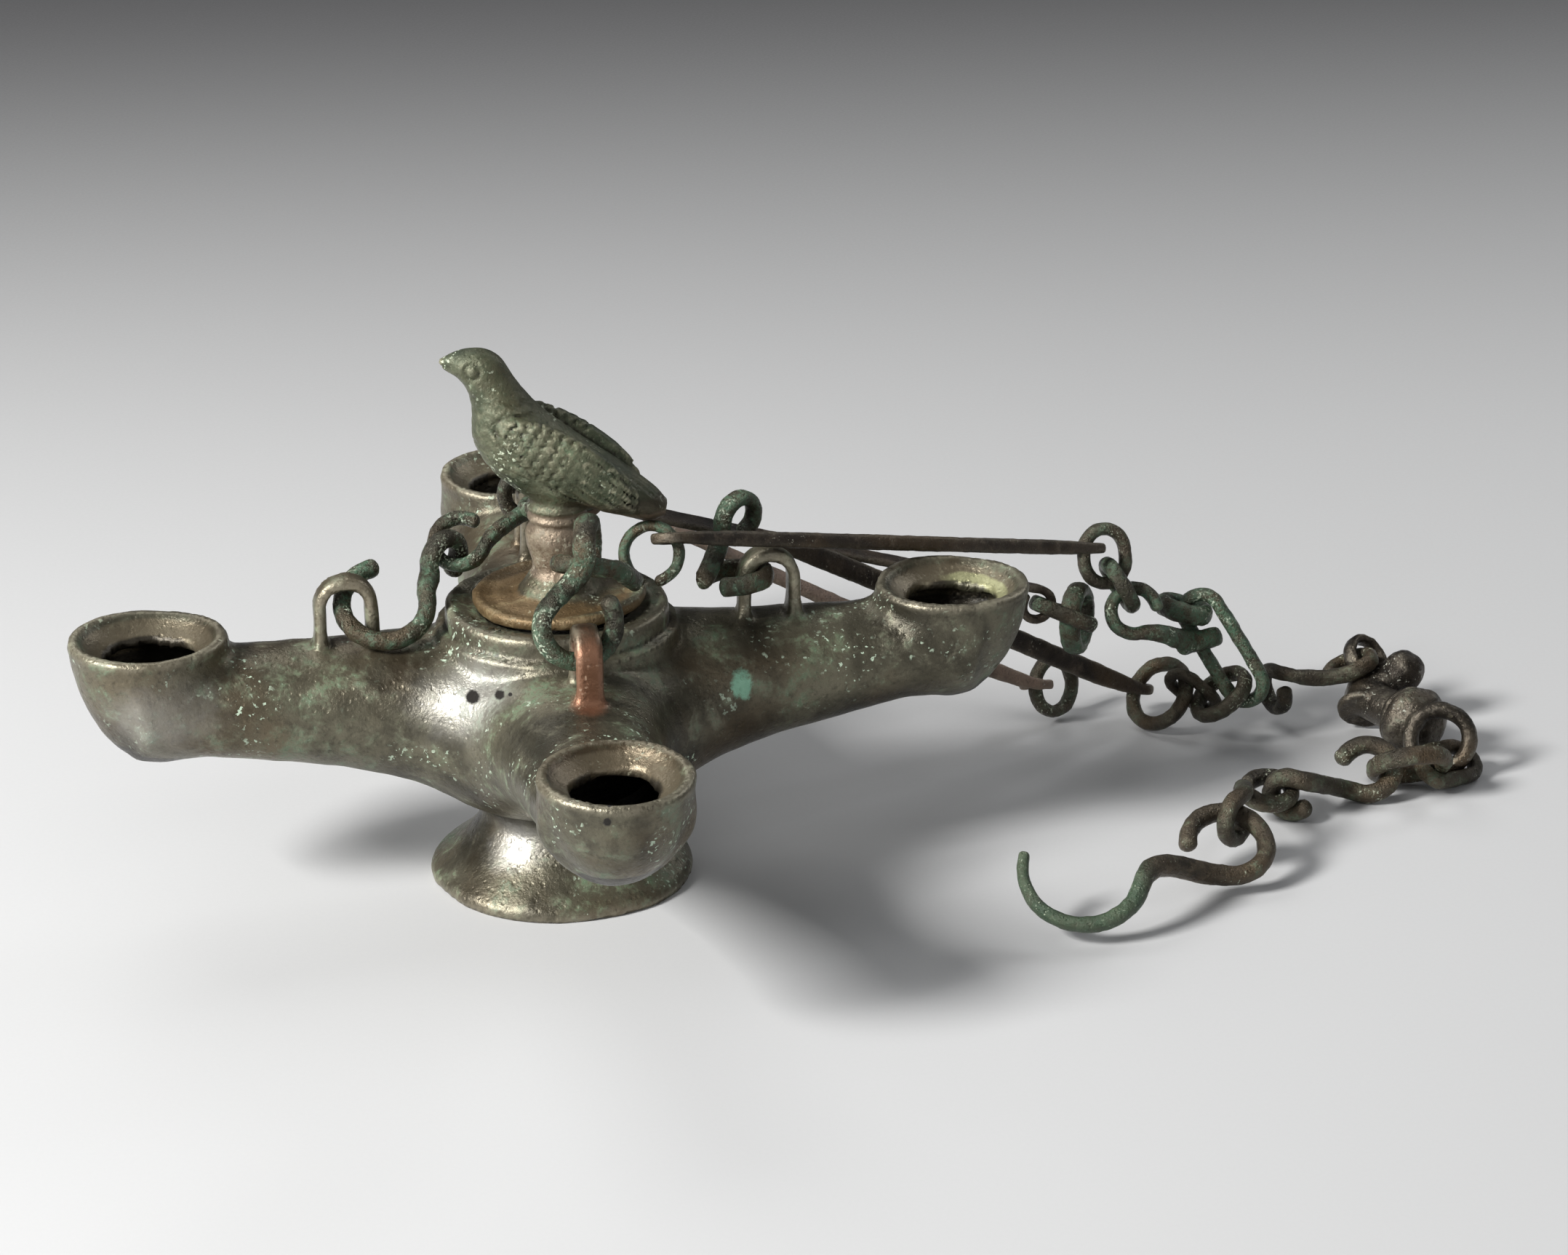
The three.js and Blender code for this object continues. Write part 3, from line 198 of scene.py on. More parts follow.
def lump(x, y, z, scale, seed):
    """cheap smooth pseudo-noise in about -1..1, the same on every run"""
    r = np.random.default_rng(seed)
    out = 0.0
    for _ in range(7):
        k = r.normal(size=3)
        k *= (0.7 + 0.8 * r.random()) / np.linalg.norm(k) * 2 * math.pi / scale
        out = out + np.sin(k[0] * x + k[1] * y + k[2] * z + r.random() * 6.28)
    return out / 3.2


def arm_tube(name, u, v, z, grow=0.0):
    w = hermite(u, ARM_U, ARM_W) + grow
    zt = hermite(u, ARM_U, ARM_ZT) + grow
    zb = hermite(u, ARM_U, ARM_ZB[name]) - grow
    zc, h = (zt + zb) / 2, (zt - zb) / 2
    q = (np.abs(v / w) ** ARM_N + np.abs((z - zc) / h) ** ARM_N) ** (1 / ARM_N)
    return smax((q - 1) * np.minimum(w, h), u - (NOZ_U + (0 if grow < 0 else 2)), 2.0)


def nozzle(name, u, v, z, grow=0.0):
    depth = RIM_Z - CUP_Z[name]
    a, b, c = NOZ_L + grow, NOZ_W + grow, depth + grow
    zz = np.minimum(z - RIM_Z, 0.0)
    q = (np.abs((u - NOZ_U) / a) ** 1.95 + np.abs(v / b) ** 1.95 + np.abs(zz / c) ** 1.95) ** (1 / 1.95)
    return smax((q - 1) * np.minimum(np.minimum(a, b), c), z - (RIM_Z - 0.6), 1.0)


def arm_local(name, x, y):
    c, s = ARM_DIR[name]
    return c * x + s * y, -s * x + c * y


def sd_outer(x, y, z, grow=0.0):
    r = np.hypot(x, y)
    q = ((r / (BOWL_R + grow)) ** 2.3 + np.abs((z - BOWL_Z) / (BOWL_H + grow)) ** 2.3) ** (1 / 2.3)
    bowl = (q - 1) * (BOWL_H + grow)
    arms = None
    for k in "ABCD":
        u, v = arm_local(k, x, y)
        t = np.maximum(arm_tube(k, u, v, z, grow), -u + 2)
        t = smin(t, nozzle(k, u, v, z, grow), 5.0)
        arms = t if arms is None else smin(arms, t, 9.0)
    return smin(bowl, arms, 6.0)


def sd_foot(r, z):
    zs = np.array([p[0] for p in FOOT]); rs = np.array([p[1] for p in FOOT])
    d = (r - hermite(z, zs, rs)) * 0.8
    d = smax(d, -z, 0.6)
    # turned recess under the foot, with a centring boss
    rec = np.maximum(np.abs(r - 16.2) - 8.8, z - 2.4)
    d = smax(d, -rec, 0.4)
    return smax(d, z - 27, 2.0)


def sd_lug(name, x, y, z):
    cx, cy = LUGS[name]
    c, s = ARM_DIR[name]
    u = c * (x - cx) + s * (y - cy)
    v = -s * (x - cx) + c * (y - cy)
    up = np.abs(np.hypot(u, z - LUG_Z) - LUG_BEND)
    leg = np.abs(np.abs(u) - LUG_BEND)
    a = np.where(z > LUG_Z, up, leg)
    flare = 1 + 0.32 * np.clip((66.5 - z) / 6, 0, 1) ** 2
    q = smax(a - LUG_T / 2 * flare, np.abs(v) - LUG_W / 2 * flare, 1.6)
    return np.maximum(q, 59.5 - z)


def sd_body(x, y, z):
    r = np.hypot(x, y)
    d = sd_outer(x, y, z)
    d = smin(d, sd_foot(r, z), 5.0)
    d = smin(d, smax(r - FLANGE_R - 0.15 * lump(x, y, z, 9, 3), np.abs(z - (FLANGE_Z - 4)) - 4.0, 1.2), 1.5)
    rise = COLLAR_Z - 0.45 * np.exp(-((r - 22.9) / 0.7) ** 2)
    d = smin(d, smax(smax(r - COLLAR_R, z - rise, 1.8), 60.0 - z, 1.0), 0.8)
    for k in "ABCD":
        u, v = arm_local(k, x, y)
        e = np.hypot((u - NOZ_U) / (NOZ_L - 1.6), v / (NOZ_W - 1.6))
        lip = np.hypot((e - 1) * (NOZ_W - 1.6) + 0.1, (z - (RIM_Z - 1.25 + 0.35 * np.sin(2 * np.arctan2(v, u - NOZ_U) + ord(k))))) - 1.55
        d = smin(d, lip, 1.4)
        d = smin(d, sd_lug(k, x, y, z), 1.4)
    # uneven casting and corrosion
    d = d + 0.16 * lump(x, y, z, 26, 11) + 0.07 * lump(x, y, z, 7, 12)
    for k in "ABCD":
        u, v = arm_local(k, x, y)
        q = (np.hypot((u - NOZ_U) / DISH_L, v / DISH_W) ** 2 + (np.minimum(z - (RIM_Z + 0.4), 0) / DISH_D) ** 2) ** 0.5
        dish = (q - 1) * DISH_D
        wob = 0.55 * np.sin(3 * np.arctan2(v, u - NOZ_U) + ord(k)) + 0.35 * np.sin(7 * np.arctan2(v, u - NOZ_U) + 2 * ord(k))
        hl, hw = (HOLE_L, HOLE_W) if k != "A" else (HOLE_L, HOLE_W - 0.6)
        hole = (np.hypot((u - NOZ_U + 0.4) / hl, v / hw) - 1) * HOLE_W + wob * 0.8
        hole = np.maximum(hole, RIM_Z - 14 - z)
        d = smax(d, -dish, 1.6)
        d = smax(d, -hole, 1.0)
    cav = sd_outer(x, y, z, -WALL)
    for k in "ABCD":
        u, v = arm_local(k, x, y)
        q = (np.hypot((u - NOZ_U) / (DISH_L + 2.2), v / (DISH_W + 2.2)) ** 2 + (np.minimum(z - (RIM_Z + 0.4), 0) / (DISH_D + 2.2)) ** 2) ** 0.5
        cav = smax(cav, -(q - 1) * DISH_D, 1.0)
    cav = np.maximum(cav, 27.0 - z)
    cav = np.maximum(cav, z - 60.2)
    d = smax(d, -cav, 0.6)
    d = smax(d, -np.maximum(r - COLLAR_IN, 50 - z), 0.8)
    return smax(d, -np.maximum(r - SEAT_R, SEAT_Z - z), 0.7)


def capsule(x, y, z, a, b, ra, rb):
    d = np.subtract(b, a)
    t = np.clip(((x - a[0]) * d[0] + (y - a[1]) * d[1] + (z - a[2]) * d[2]) / (d @ d), 0, 1)
    return np.sqrt((x - a[0] - t * d[0]) ** 2 + (y - a[1] - t * d[1]) ** 2 + (z - a[2] - t * d[2]) ** 2) - (ra + (rb - ra) * t)


BIRD = [((26.0, 92.9), (25.4, 89.6), 3.4), ((22.6, 96.6), (21.4, 88.6), 5.6), ((16.1, 101.5), (13.1, 90.3), 7.4), ((8.7, 106.5), (5.6, 92.4), 8.8),
        ((2.2, 111.1), (-1.6, 93.4), 9.5), ((-3.2, 115.8), (-8.3, 96.0), 9.6), ((-6.6, 119.6), (-14.2, 100.8), 8.8), ((-8.4, 122.2), (-18.2, 108.4), 7.0),
        ((-9.8, 124.8), (-18.3, 115.6), 5.4), ((-11.6, 127.6), (-19.4, 120.2), 5.0), ((-14.6, 129.2), (-21.2, 122.6), 4.8), ((-18.6, 129.4), (-22.6, 123.6), 3.9),
        ((-22.4, 128.4), (-23.8, 124.3), 2.0), ((-25.4, 126.8), (-25.2, 125.4), 0.7)]
POST = [(69.6, 9.8), (72.6, 8.6), (77.0, 5.9), (80.5, 6.6), (84.4, 7.6), (86.6, 7.2), (88.2, 6.4), (89.4, 7.1), (90.6, 6.5), (92.0, 7.1), (93.4, 6.4), (97.5, 8.2)]


def resample(ribs, m):
    a = np.array([[*p, *q, w] for p, q, w in ribs], float)
    x = np.linspace(0, len(a) - 1, m)
    g = np.arange(len(a), dtype=float)
    return np.stack([hermite(x, g, a[:, i]) for i in range(5)], 1)


RIBS = resample(BIRD, 53)


def sd_bird(s, t, z):
    """body lofted through the ribs: which rib a point lies on, then how far out it is"""
    n = len(RIBS)
    best = np.full(s.shape, -1.0)
    prev = None
    frac = np.zeros(s.shape); done = np.zeros(s.shape, bool)
    for i in range(n):
        us, uz, ls, lz, w = RIBS[i]
        c = (us - ls) * (z - lz) - (uz - lz) * (s - ls)
        c = c / math.hypot(us - ls, uz - lz)
        if prev is not None:
            hit = (~done) & (prev > 0) & (c <= 0)
            frac = np.where(hit, i - 1 + prev / (prev - c + 1e-12), frac)
            done |= hit
        else:
            first = c
        prev = c
    past0 = first <= 0
    frac = np.where(done, frac, np.where(past0, 0.0, n - 1.0))
    i = np.clip(frac.astype(int), 0, n - 2); f = frac - i
    R = RIBS[i] * (1 - f)[..., None] + RIBS[i + 1] * f[..., None]
    us, uz, ls, lz, w = (R[..., j] for j in range(5))
    hl = np.hypot(us - ls, uz - lz) / 2
    cs, cz = (us + ls) / 2, (uz + lz) / 2
    q = ((s - cs) * (us - ls) + (z - cz) * (uz - lz)) / (2 * hl)
    off = ((s - cs) * (uz - lz) - (z - cz) * (us - ls)) / (2 * hl)   # how far past the last rib
    rad = np.sqrt((q / hl) ** 2 + (t / w) ** 2)
    d = (rad - 1) * np.minimum(hl, w)
    return np.where(done, d, np.maximum(d, np.abs(off)))


def rot2(a, b, ang):
    return a * math.cos(ang) + b * math.sin(ang), -a * math.sin(ang) + b * math.cos(ang)


def ellip(a, b, c, ra, rb, rc):
    k = np.sqrt((a / ra) ** 2 + (b / rb) ** 2 + (c / rc) ** 2)
    return (k - 1) * min(ra, rb, rc)


def bird_frame(x, y):
    c, d = math.cos(HEADING), math.sin(HEADING)
    return x * c - y * d, x * d + y * c


def wing_local(s, t, z, side):
    a, c = rot2(s - 4.2, z - 104.0, -0.56)
    return a, t - side * 7.3, c


def sd_lid(x, y, z):
    # disc, tilted in its seat
    lean = math.atan(0.04)
    lx, lz = x - 0.8, z - (69.65 + 0.04 * 0.8)
    a, c = rot2(lx, lz, lean)
    b = y - 0.2
    r = np.hypot(a, b)
    th = np.arctan2(b, a)
    top = 1.1 + 1.3 * np.clip(1 - r / 17.5, 0, 1) + 0.5 * np.exp(-((r - 18.9) / 1.2) ** 2) - 0.25 * np.exp(-((r - 15.6) / 1.0) ** 2)
    disc = smax(smax(r - 20.1 - 0.25 * np.sin(2 * th + 1) * np.sin(5 * th), c - top, 0.8), -1.15 - c, 0.8)
    # post with turned rings
    pr = np.hypot(x - 0.7, y + 0.1)
    zs = np.array([p[0] for p in POST]); rs = np.array([p[1] for p in POST])
    post = smax((pr - hermite(z, zs, rs)) * 0.85, np.maximum(69.0 - z, z - 98.0), 1.0)
    d = smin(disc, post, 1.8)
    d = smin(d, np.sqrt((x - 1.9) ** 2 + (y + 7.4) ** 2 + (z - 76.4) ** 2) - 2.8, 1.0)
    s, t = bird_frame(x, y)
    bird = sd_bird(s, t, z)
    for side in (-1, 1):
        a, b2, c2 = wing_local(s, t, z, side)
        # wing: long leaf, a flattened ellipsoid
        taper = np.clip(1 - ((a + 2) / 20.0) ** 2, 0.05, 1) ** 0.5
        w = ellip(a, b2, c2, 19.0, 3.0, 6.6)
        w = w + 0.5 * np.exp(-(b2 - side * 2.4) ** 2 / 4) * 0
        bird = smin(bird, w, 0.8)
    d = smin(d, bird, 2.0)
    # incised work on the bird
    on = np.clip((z - 93.5) / 2.0, 0, 1)
    groove = np.zeros_like(x)
    for side in (-1, 1):
        a, b2, c2 = wing_local(s, t, z, side)
        k = np.sqrt((a / 19.0) ** 2 + (c2 / 6.6) ** 2)
        out = np.clip((t * side - 4.0) / 2.0, 0, 1)
        inside = np.clip((0.97 - k) / 0.06, 0, 1) * out
        # long flight feathers on the rear half, rows of small ones on the shoulder
        fl = np.exp(-((((c2 + 0.10 * a) / 1.9) % 1.0 - 0.5) / 0.13) ** 2) * np.clip((a - 1.0) / 2.0, 0, 1)
        sc = np.exp(-((((a * 0.9 + 1.1 * np.abs(np.sin(c2 * 1.5))) / 2.4) % 1.0 - 0.5) / 0.15) ** 2) * np.clip((2.0 - a) / 2.0, 0, 1)
        edge = np.exp(-((k - 1.0) / 0.045) ** 2) * out
        groove = groove + 0.42 * (fl + sc) * inside + 0.55 * edge
    # neck and breast: short strokes, tail: long lines
    neck = np.clip((-2.0 - s) / 3.0, 0, 1) * np.clip((z - 98) / 3, 0, 1) * np.clip((121.5 - z) / 2.5, 0, 1)
    groove = groove + 0.26 * neck * np.exp(-((((z + 0.35 * s + 0.9 * np.abs(np.sin(t * 0.9))) / 2.6) % 1.0 - 0.5) / 0.16) ** 2)
    tail = np.clip((s - 14.5) / 2.0, 0, 1)
    groove = groove + 0.35 * tail * np.exp(-(((t / 2.3) % 1.0 - 0.5) / 0.15) ** 2)
    # eye: a ring with a pit, the gape of the beak
    for side in (-1, 1):
        e = np.sqrt((s + 17.6) ** 2 + (z - 125.2) ** 2)
        m = np.clip(t * side - 1.5, 0, 1)
        groove = groove + m * (0.5 * np.exp(-((e - 1.75) / 0.35) ** 2) - 0.25 * np.exp(-(e / 0.9) ** 2))
    groove = groove + 0.45 * np.exp(-((z - (125.6 + 0.03 * (s + 22))) / 0.35) ** 2) * np.clip((-20.8 - s) / 0.8, 0, 1)
    d = d + groove * on
    return d + 0.10 * lump(x, y, z, 12, 21) + 0.06 * lump(x, y, z, 3.6, 22)


def torus(x, y, z, at, axis, big, w, t):
    n = np.array(axis, float); n /= np.linalg.norm(n)
    p = np.stack([x - at[0], y - at[1], z - at[2]], -1)
    h = p @ n
    q = np.linalg.norm(p - h[..., None] * n, axis=-1)
    k = np.hypot(h / (w / 2), (q - big) / (t / 2))
    return (k - 1) * min(w, t) / 2


def cone(x, y, z, a, b, ra, rb, rnd=0.8):
    a, b = np.array(a, float), np.array(b, float)
    d = b - a; L = np.linalg.norm(d); d = d / L
    p = np.stack([x - a[0], y - a[1], z - a[2]], -1)
    h = p @ d
    q = np.linalg.norm(p - h[..., None] * d, axis=-1)
    t = np.clip(h / L, 0, 1)
    return smax(q - (ra + (rb - ra) * t ** 1.4), np.abs(h - L / 2) - L / 2, rnd)


def sd_swivel(x, y, z):
    s = SWIVEL
    lp, ee = s["loop"], s["endEye"]
    d = torus(x, y, z, lp["at"], lp["axis"], lp["bend"], lp["width"], lp["thickness"])
    d = smin(d, cone(x, y, z, s["bellTop"], s["bellMouth"], 4.1, 7.0), 0.8)
    bm, bt = np.array(s["bellMouth"]), np.array(s["bellTop"])
    ax = (bm - bt) / np.linalg.norm(bm - bt)
    d = smin(d, torus(x, y, z, bm - ax * 1.0, ax, 6.2, 2.0, 1.8), 0.5)
    d = smax(d, -(np.sqrt((x - bm[0]) ** 2 + (y - bm[1]) ** 2 + (z - bm[2]) ** 2) - 3.4), 0.8)
    d = smin(d, capsule(x, y, z, s["bellTop"], s["loopRoot"], 2.6, 1.9), 0.8)
    d = smin(d, capsule(x, y, z, s["bellMiddle"], s["bigBead"], 5.0, 5.0), 1.0)
    d = smin(d, capsule(x, y, z, s["smallBead"], s["bellTop"], 3.1, 3.1), 0.8)
    d = smin(d, capsule(x, y, z, s["smallBead"], s["bellMiddle"], 4.1, 4.1), 0.8)
    ax2 = np.array(s["bigBead"]) - np.array(ee["at"]); ax2 = ax2 / np.linalg.norm(ax2)
    p = np.stack([x - s["bigBead"][0], y - s["bigBead"][1], z - s["bigBead"][2]], -1)
    h = p @ ax2; q = np.linalg.norm(p - h[..., None] * ax2, axis=-1)
    R = s["bigBeadRadius"] - 0.1
    bead = (np.sqrt((h / (R * 0.8)) ** 2 + (q / R) ** 2) - 1) * R * 0.8
    bead = bead + 0.5 * np.exp(-((h - 1.6) / 0.5) ** 2)
    d = smin(d, bead, 0.6)
    sb = s["smallBead"]
    sm = np.sqrt((x - sb[0]) ** 2 + (y - sb[1]) ** 2 + (z - sb[2]) ** 2) - (s["smallBeadRadius"] - 0.1)
    d = smin(d, sm, 0.6)
    d = smin(d, torus(x, y, z, ee["at"], ee["axis"], ee["bend"], ee["width"], ee["thickness"]), 0.7)
    d = smin(d, capsule(x, y, z, s["bigBead"], s["eyeRoot"], 3.2, 2.0), 0.8)
    return d + 0.14 * lump(x, y, z, 6, 31) + 0.05 * lump(x, y, z, 2.2, 32)


def grid_mesh(f, lo, hi, h, steps=2):
    """surface nets of f = 0, then a few steps onto the surface"""
    lo = np.array(lo, float); n = np.ceil((np.array(hi) - lo) / h).astype(int) + 1
    ax = [lo[i] + h * np.arange(n[i]) for i in range(3)]
    V = np.empty(tuple(n))
    for i0 in range(0, n[0], 16):
        X, Y, Z = np.meshgrid(ax[0][i0:i0 + 16], ax[1], ax[2], indexing="ij")
        V[i0:i0 + 16] = f(X.ravel(), Y.ravel(), Z.ravel()).reshape(X.shape)
    V[V == 0] = 1e-9
    S = V < 0
    cells = np.zeros(tuple(n - 1), np.uint8)
    for dx in (0, 1):
        for dy in (0, 1):
            for dz in (0, 1):
                cells += S[dx:n[0] - 1 + dx, dy:n[1] - 1 + dy, dz:n[2] - 1 + dz]
    act = (cells > 0) & (cells < 8)
    idx = -np.ones(act.shape, np.int64); ids = np.argwhere(act); idx[act] = np.arange(len(ids))
    acc = np.zeros((len(ids), 3)); cnt = np.zeros(len(ids))
    for a in [(i, j, k) for i in (0, 1) for j in (0, 1) for k in (0, 1)]:
        for axis in range(3):
            if a[axis] == 0:
                b = list(a); b[axis] = 1
                va = V[ids[:, 0] + a[0], ids[:, 1] + a[1], ids[:, 2] + a[2]]
                vb = V[ids[:, 0] + b[0], ids[:, 1] + b[1], ids[:, 2] + b[2]]
                m = (va < 0) != (vb < 0)
                t = np.where(m, va / np.where(m, va - vb, 1), 0)
                p = np.array(a, float)[None] + np.zeros((len(ids), 3)); p[:, axis] += t
                acc[m] += p[m]; cnt[m] += 1
    P = lo + h * (ids + acc / cnt[:, None])
    quads = []
    for axis in range(3):
        o = [0, 1, 2]; o.remove(axis); b, c = o
        sl0 = [slice(1, n[i] - 1) for i in range(3)]; sl0[axis] = slice(0, n[axis] - 1)
        sl1 = list(sl0); sl1[axis] = slice(1, n[axis])
        s0, s1 = S[tuple(sl0)], S[tuple(sl1)]
        e = np.argwhere(s0 != s1); off = np.array([1, 1, 1]); off[axis] = 0
        g = e + off; ins = s0[s0 != s1]

        def cid(db, dc):
            q = g.copy(); q[:, b] += db; q[:, c] += dc
            return idx[q[:, 0], q[:, 1], q[:, 2]]
        q = np.stack([cid(-1, -1), cid(0, -1), cid(0, 0), cid(-1, 0)], 1)
        flip = ins if axis != 1 else ~ins
        q[~flip] = q[~flip][:, ::-1]
        quads.append(q)
    Q = np.concatenate(quads)
    e = h * 0.25
    for _ in range(steps):
        x, y, z = P.T
        f0 = f(x, y, z)
        g = np.stack([f(x + e, y, z) - f(x - e, y, z), f(x, y + e, z) - f(x, y - e, z), f(x, y, z + e) - f(x, y, z - e)], 1) / (2 * e)
        step = -(f0 / np.maximum((g ** 2).sum(1), 0.2))[:, None] * g
        L = np.linalg.norm(step, axis=1); m = L > h * 0.3
        step[m] *= (h * 0.3 / L[m])[:, None]
        P = P + 0.8 * step
    return P, Q


# ------------------------------------------------------------------ chain
def unit(v):
    v = np.asarray(v, float)
    return v / np.linalg.norm(v)


def link_path(l, fine=5):
    def eye(e):
        n = unit(e["axis"]); m = np.array(e["side"], float); m = unit(m - (m @ n) * n)
        return np.array(e["at"], float), n, m, np.cross(n, m), e["bend"], math.radians(e["sweep"])
    A, B = eye(l["from"]), eye(l["to"])
    same = 1 if A[1] @ B[1] >= 0 else -1
    N, mid = 6 * fine, (6 if l.get("long") else 3) * fine
    P, W, ww, tt = [], [], [], []
    w0, t0 = l["width"], l["thickness"]
    ws, ts, tip, k = l.get("shankWidth", w0), l.get("shankThickness", t0), l.get("taper", 1), l.get("slack", 1)
    for i in range(N + 1):
        q = A[5] * (1 - i / N)
        P.append(A[0] + A[4] * (math.cos(q) * A[2] - math.sin(q) * A[3])); W.append(A[1]); ww.append(w0); tt.append(t0)
    a, b = P[-1], B[0] + B[4] * B[2]
    L = np.linalg.norm(b - a) * k
    for i in range(1, mid):
        s = i / mid; s = s * s * (3 - 2 * s) * 0.6 + s * 0.4
        h = 3 * s * s - 2 * s ** 3; e = min(1, 5 * s, 5 * (1 - s))
        P.append(a * (1 - h) + b * h + A[3] * L * (s ** 3 - 2 * s * s + s) + B[3] * L * (s ** 3 - s * s))
        W.append(unit(A[1] * (1 - h) + B[1] * same * h)); ww.append(w0 + (ws - w0) * e); tt.append(t0 + (ts - t0) * e)
    for i in range(N + 1):
        q = B[5] * i / N; f = 1 + (tip - 1) * i / N
        P.append(B[0] + B[4] * (math.cos(q) * B[2] + math.sin(q) * B[3])); W.append(B[1] * same); ww.append(w0 * f); tt.append(t0 * f)
    return np.array(P), np.array(W), np.array(ww), np.array(tt), False


def ring_path(r, fine=5):
    n = unit(r["axis"]); d = np.array(r.get("along", [1, 0, 0]), float); d = unit(d - (d @ n) * n); e = np.cross(n, d)
    P = []; k = 6 * fine; a = r.get("straight", 0)
    for s in (1, -1):
        for i in range(k):
            q = -math.pi / 2 + math.pi * i / (k - 1 if a > 0 else k)
            P.append(np.array(r["at"], float) + s * (a * d + r["bend"] * (math.cos(q) * d)) + s * r["bend"] * math.sin(q) * e)
    P = np.array(P)
    return P, np.tile(n, (len(P), 1)), np.full(len(P), float(r["width"])), np.full(len(P), float(r["thickness"])), True


def strap_mesh(path, seed, sides=14, rough=0.13, square=1.0):
    P, W, ww, tt, closed = path
    n = len(P)
    # arc-length steps of about 0.8 mm
    Q = np.vstack([P, P[:1]]) if closed else P
    L = np.concatenate([[0], np.cumsum(np.linalg.norm(np.diff(Q, axis=0), axis=1))])
    m = max(12, int(L[-1] / 0.8))
    x = np.linspace(0, L[-1], m + (1 if closed else 0))
    if closed:
        x = x[:-1]
    ext = lambda a: np.vstack([a, a[:1]]) if closed else a
    P2 = np.stack([np.interp(x, L, ext(P)[:, i]) for i in range(3)], 1)
    W2 = np.stack([np.interp(x, L, ext(W)[:, i]) for i in range(3)], 1)
    e1 = lambda a: np.concatenate([a, a[:1]]) if closed else a
    w2, t2 = np.interp(x, L, e1(ww)), np.interp(x, L, e1(tt))
    # soften the joins between the arcs and the shank
    for _ in range(3):
        if closed:
            P2 = 0.25 * np.roll(P2, 1, 0) + 0.5 * P2 + 0.25 * np.roll(P2, -1, 0)
        else:
            P2[1:-1] = 0.25 * P2[:-2] + 0.5 * P2[1:-1] + 0.25 * P2[2:]
    T = np.roll(P2, -1, 0) - np.roll(P2, 1, 0) if closed else np.gradient(P2, axis=0)
    T /= np.linalg.norm(T, axis=1)[:, None]
    W2 = W2 - (W2 * T).sum(1)[:, None] * T; W2 /= np.linalg.norm(W2, axis=1)[:, None]
    H = np.cross(T, W2)
    k = len(P2)
    rings = []; cent = []
    if not closed:
        # rounded ends
        caps = [0.35, 0.7, 0.92, 1.0]
        r0, r1 = min(w2[0], t2[0]) / 2, min(w2[-1], t2[-1]) / 2
        P2 = np.vstack([[P2[0] - T[0] * r0 * math.sqrt(max(0, 1 - c * c)) * 0.8 for c in caps[:-1]], P2, [P2[-1] + T[-1] * r1 * math.sqrt(max(0, 1 - c * c)) * 0.8 for c in caps[:-1][::-1]]])
        pad = len(caps) - 1
        W2 = np.vstack([np.repeat(W2[:1], pad, 0), W2, np.repeat(W2[-1:], pad, 0)])
        H = np.vstack([np.repeat(H[:1], pad, 0), H, np.repeat(H[-1:], pad, 0)])
        w2 = np.concatenate([[w2[0] * c for c in caps[:-1]], w2, [w2[-1] * c for c in caps[:-1][::-1]]])
        t2 = np.concatenate([[t2[0] * c for c in caps[:-1]], t2, [t2[-1] * c for c in caps[:-1][::-1]]])
        k = len(P2)
    q = 2 * np.pi * np.arange(sides) / sides
    c, s = np.cos(q), np.sin(q)
    c, s = np.sign(c) * np.abs(c) ** square, np.sign(s) * np.abs(s) ** square
    V = P2[:, None] + W2[:, None] * (w2[:, None] / 2 * c)[..., None] + H[:, None] * (t2[:, None] / 2 * s)[..., None]
    V = V.reshape(-1, 3)
    out = V - np.repeat(P2, sides, 0)
    ln = np.linalg.norm(out, axis=1)[:, None] + 1e-9
    d = rough * (0.65 * lump(*V.T, 4.5, seed) + 0.35 * lump(*V.T, 1.7, seed + 50)) - rough * 0.35
    V = V + out / ln * np.clip(d, -0.4, 0.16)[:, None]
    F = []
    mm = k if closed else k - 1
    i = np.arange(mm)[:, None]; j = np.arange(sides)[None]
    i2 = (i + 1) % k; j2 = (j + 1) % sides
    F = np.stack([i * sides + j, i * sides + j2, i2 * sides + j2, i2 * sides + j], -1).reshape(-1, 4)
    tri = []
    if not closed:
        c0 = len(V)
        V = np.vstack([V, P2[:1], P2[-1:]])
        for jj in range(sides):
            tri.append((c0, (jj + 1) % sides, jj)); o = (k - 1) * sides
            tri.append((c0 + 1, o + jj, o + (jj + 1) % sides))
    return V, F, tri


def outward(V, F, tri):
    vol = 0.0
    a, b, c, d = (V[F[:, i]] for i in range(4))
    vol = (a * np.cross(b, c)).sum() + (a * np.cross(c, d)).sum()
    return (F, tri) if vol > 0 else (F[:, ::-1], [t[::-1] for t in tri])


def put(name, V, F, tri, node, mat, attrs=None):
    me = bpy.data.meshes.new(name)
    faces = [tuple(int(i) for i in f) for f in F] + [tuple(int(i) for i in t) for t in tri]
    me.from_pydata((V * MM).tolist(), [], faces)
    me.validate()
    me.update()
    me.polygons.foreach_set("use_smooth", np.ones(len(me.polygons), bool))
    for k, a in (attrs or {}).items():
        if len(a) == len(me.vertices):
            me.attributes.new(k, "FLOAT", "POINT").data.foreach_set("value", np.asarray(a, np.float32))
    ob = bpy.data.objects.new(name, me)
    bpy.context.scene.collection.objects.link(ob)
    me.materials.append(mat)
    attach(ob, "root")
    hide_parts(node)
    return ob


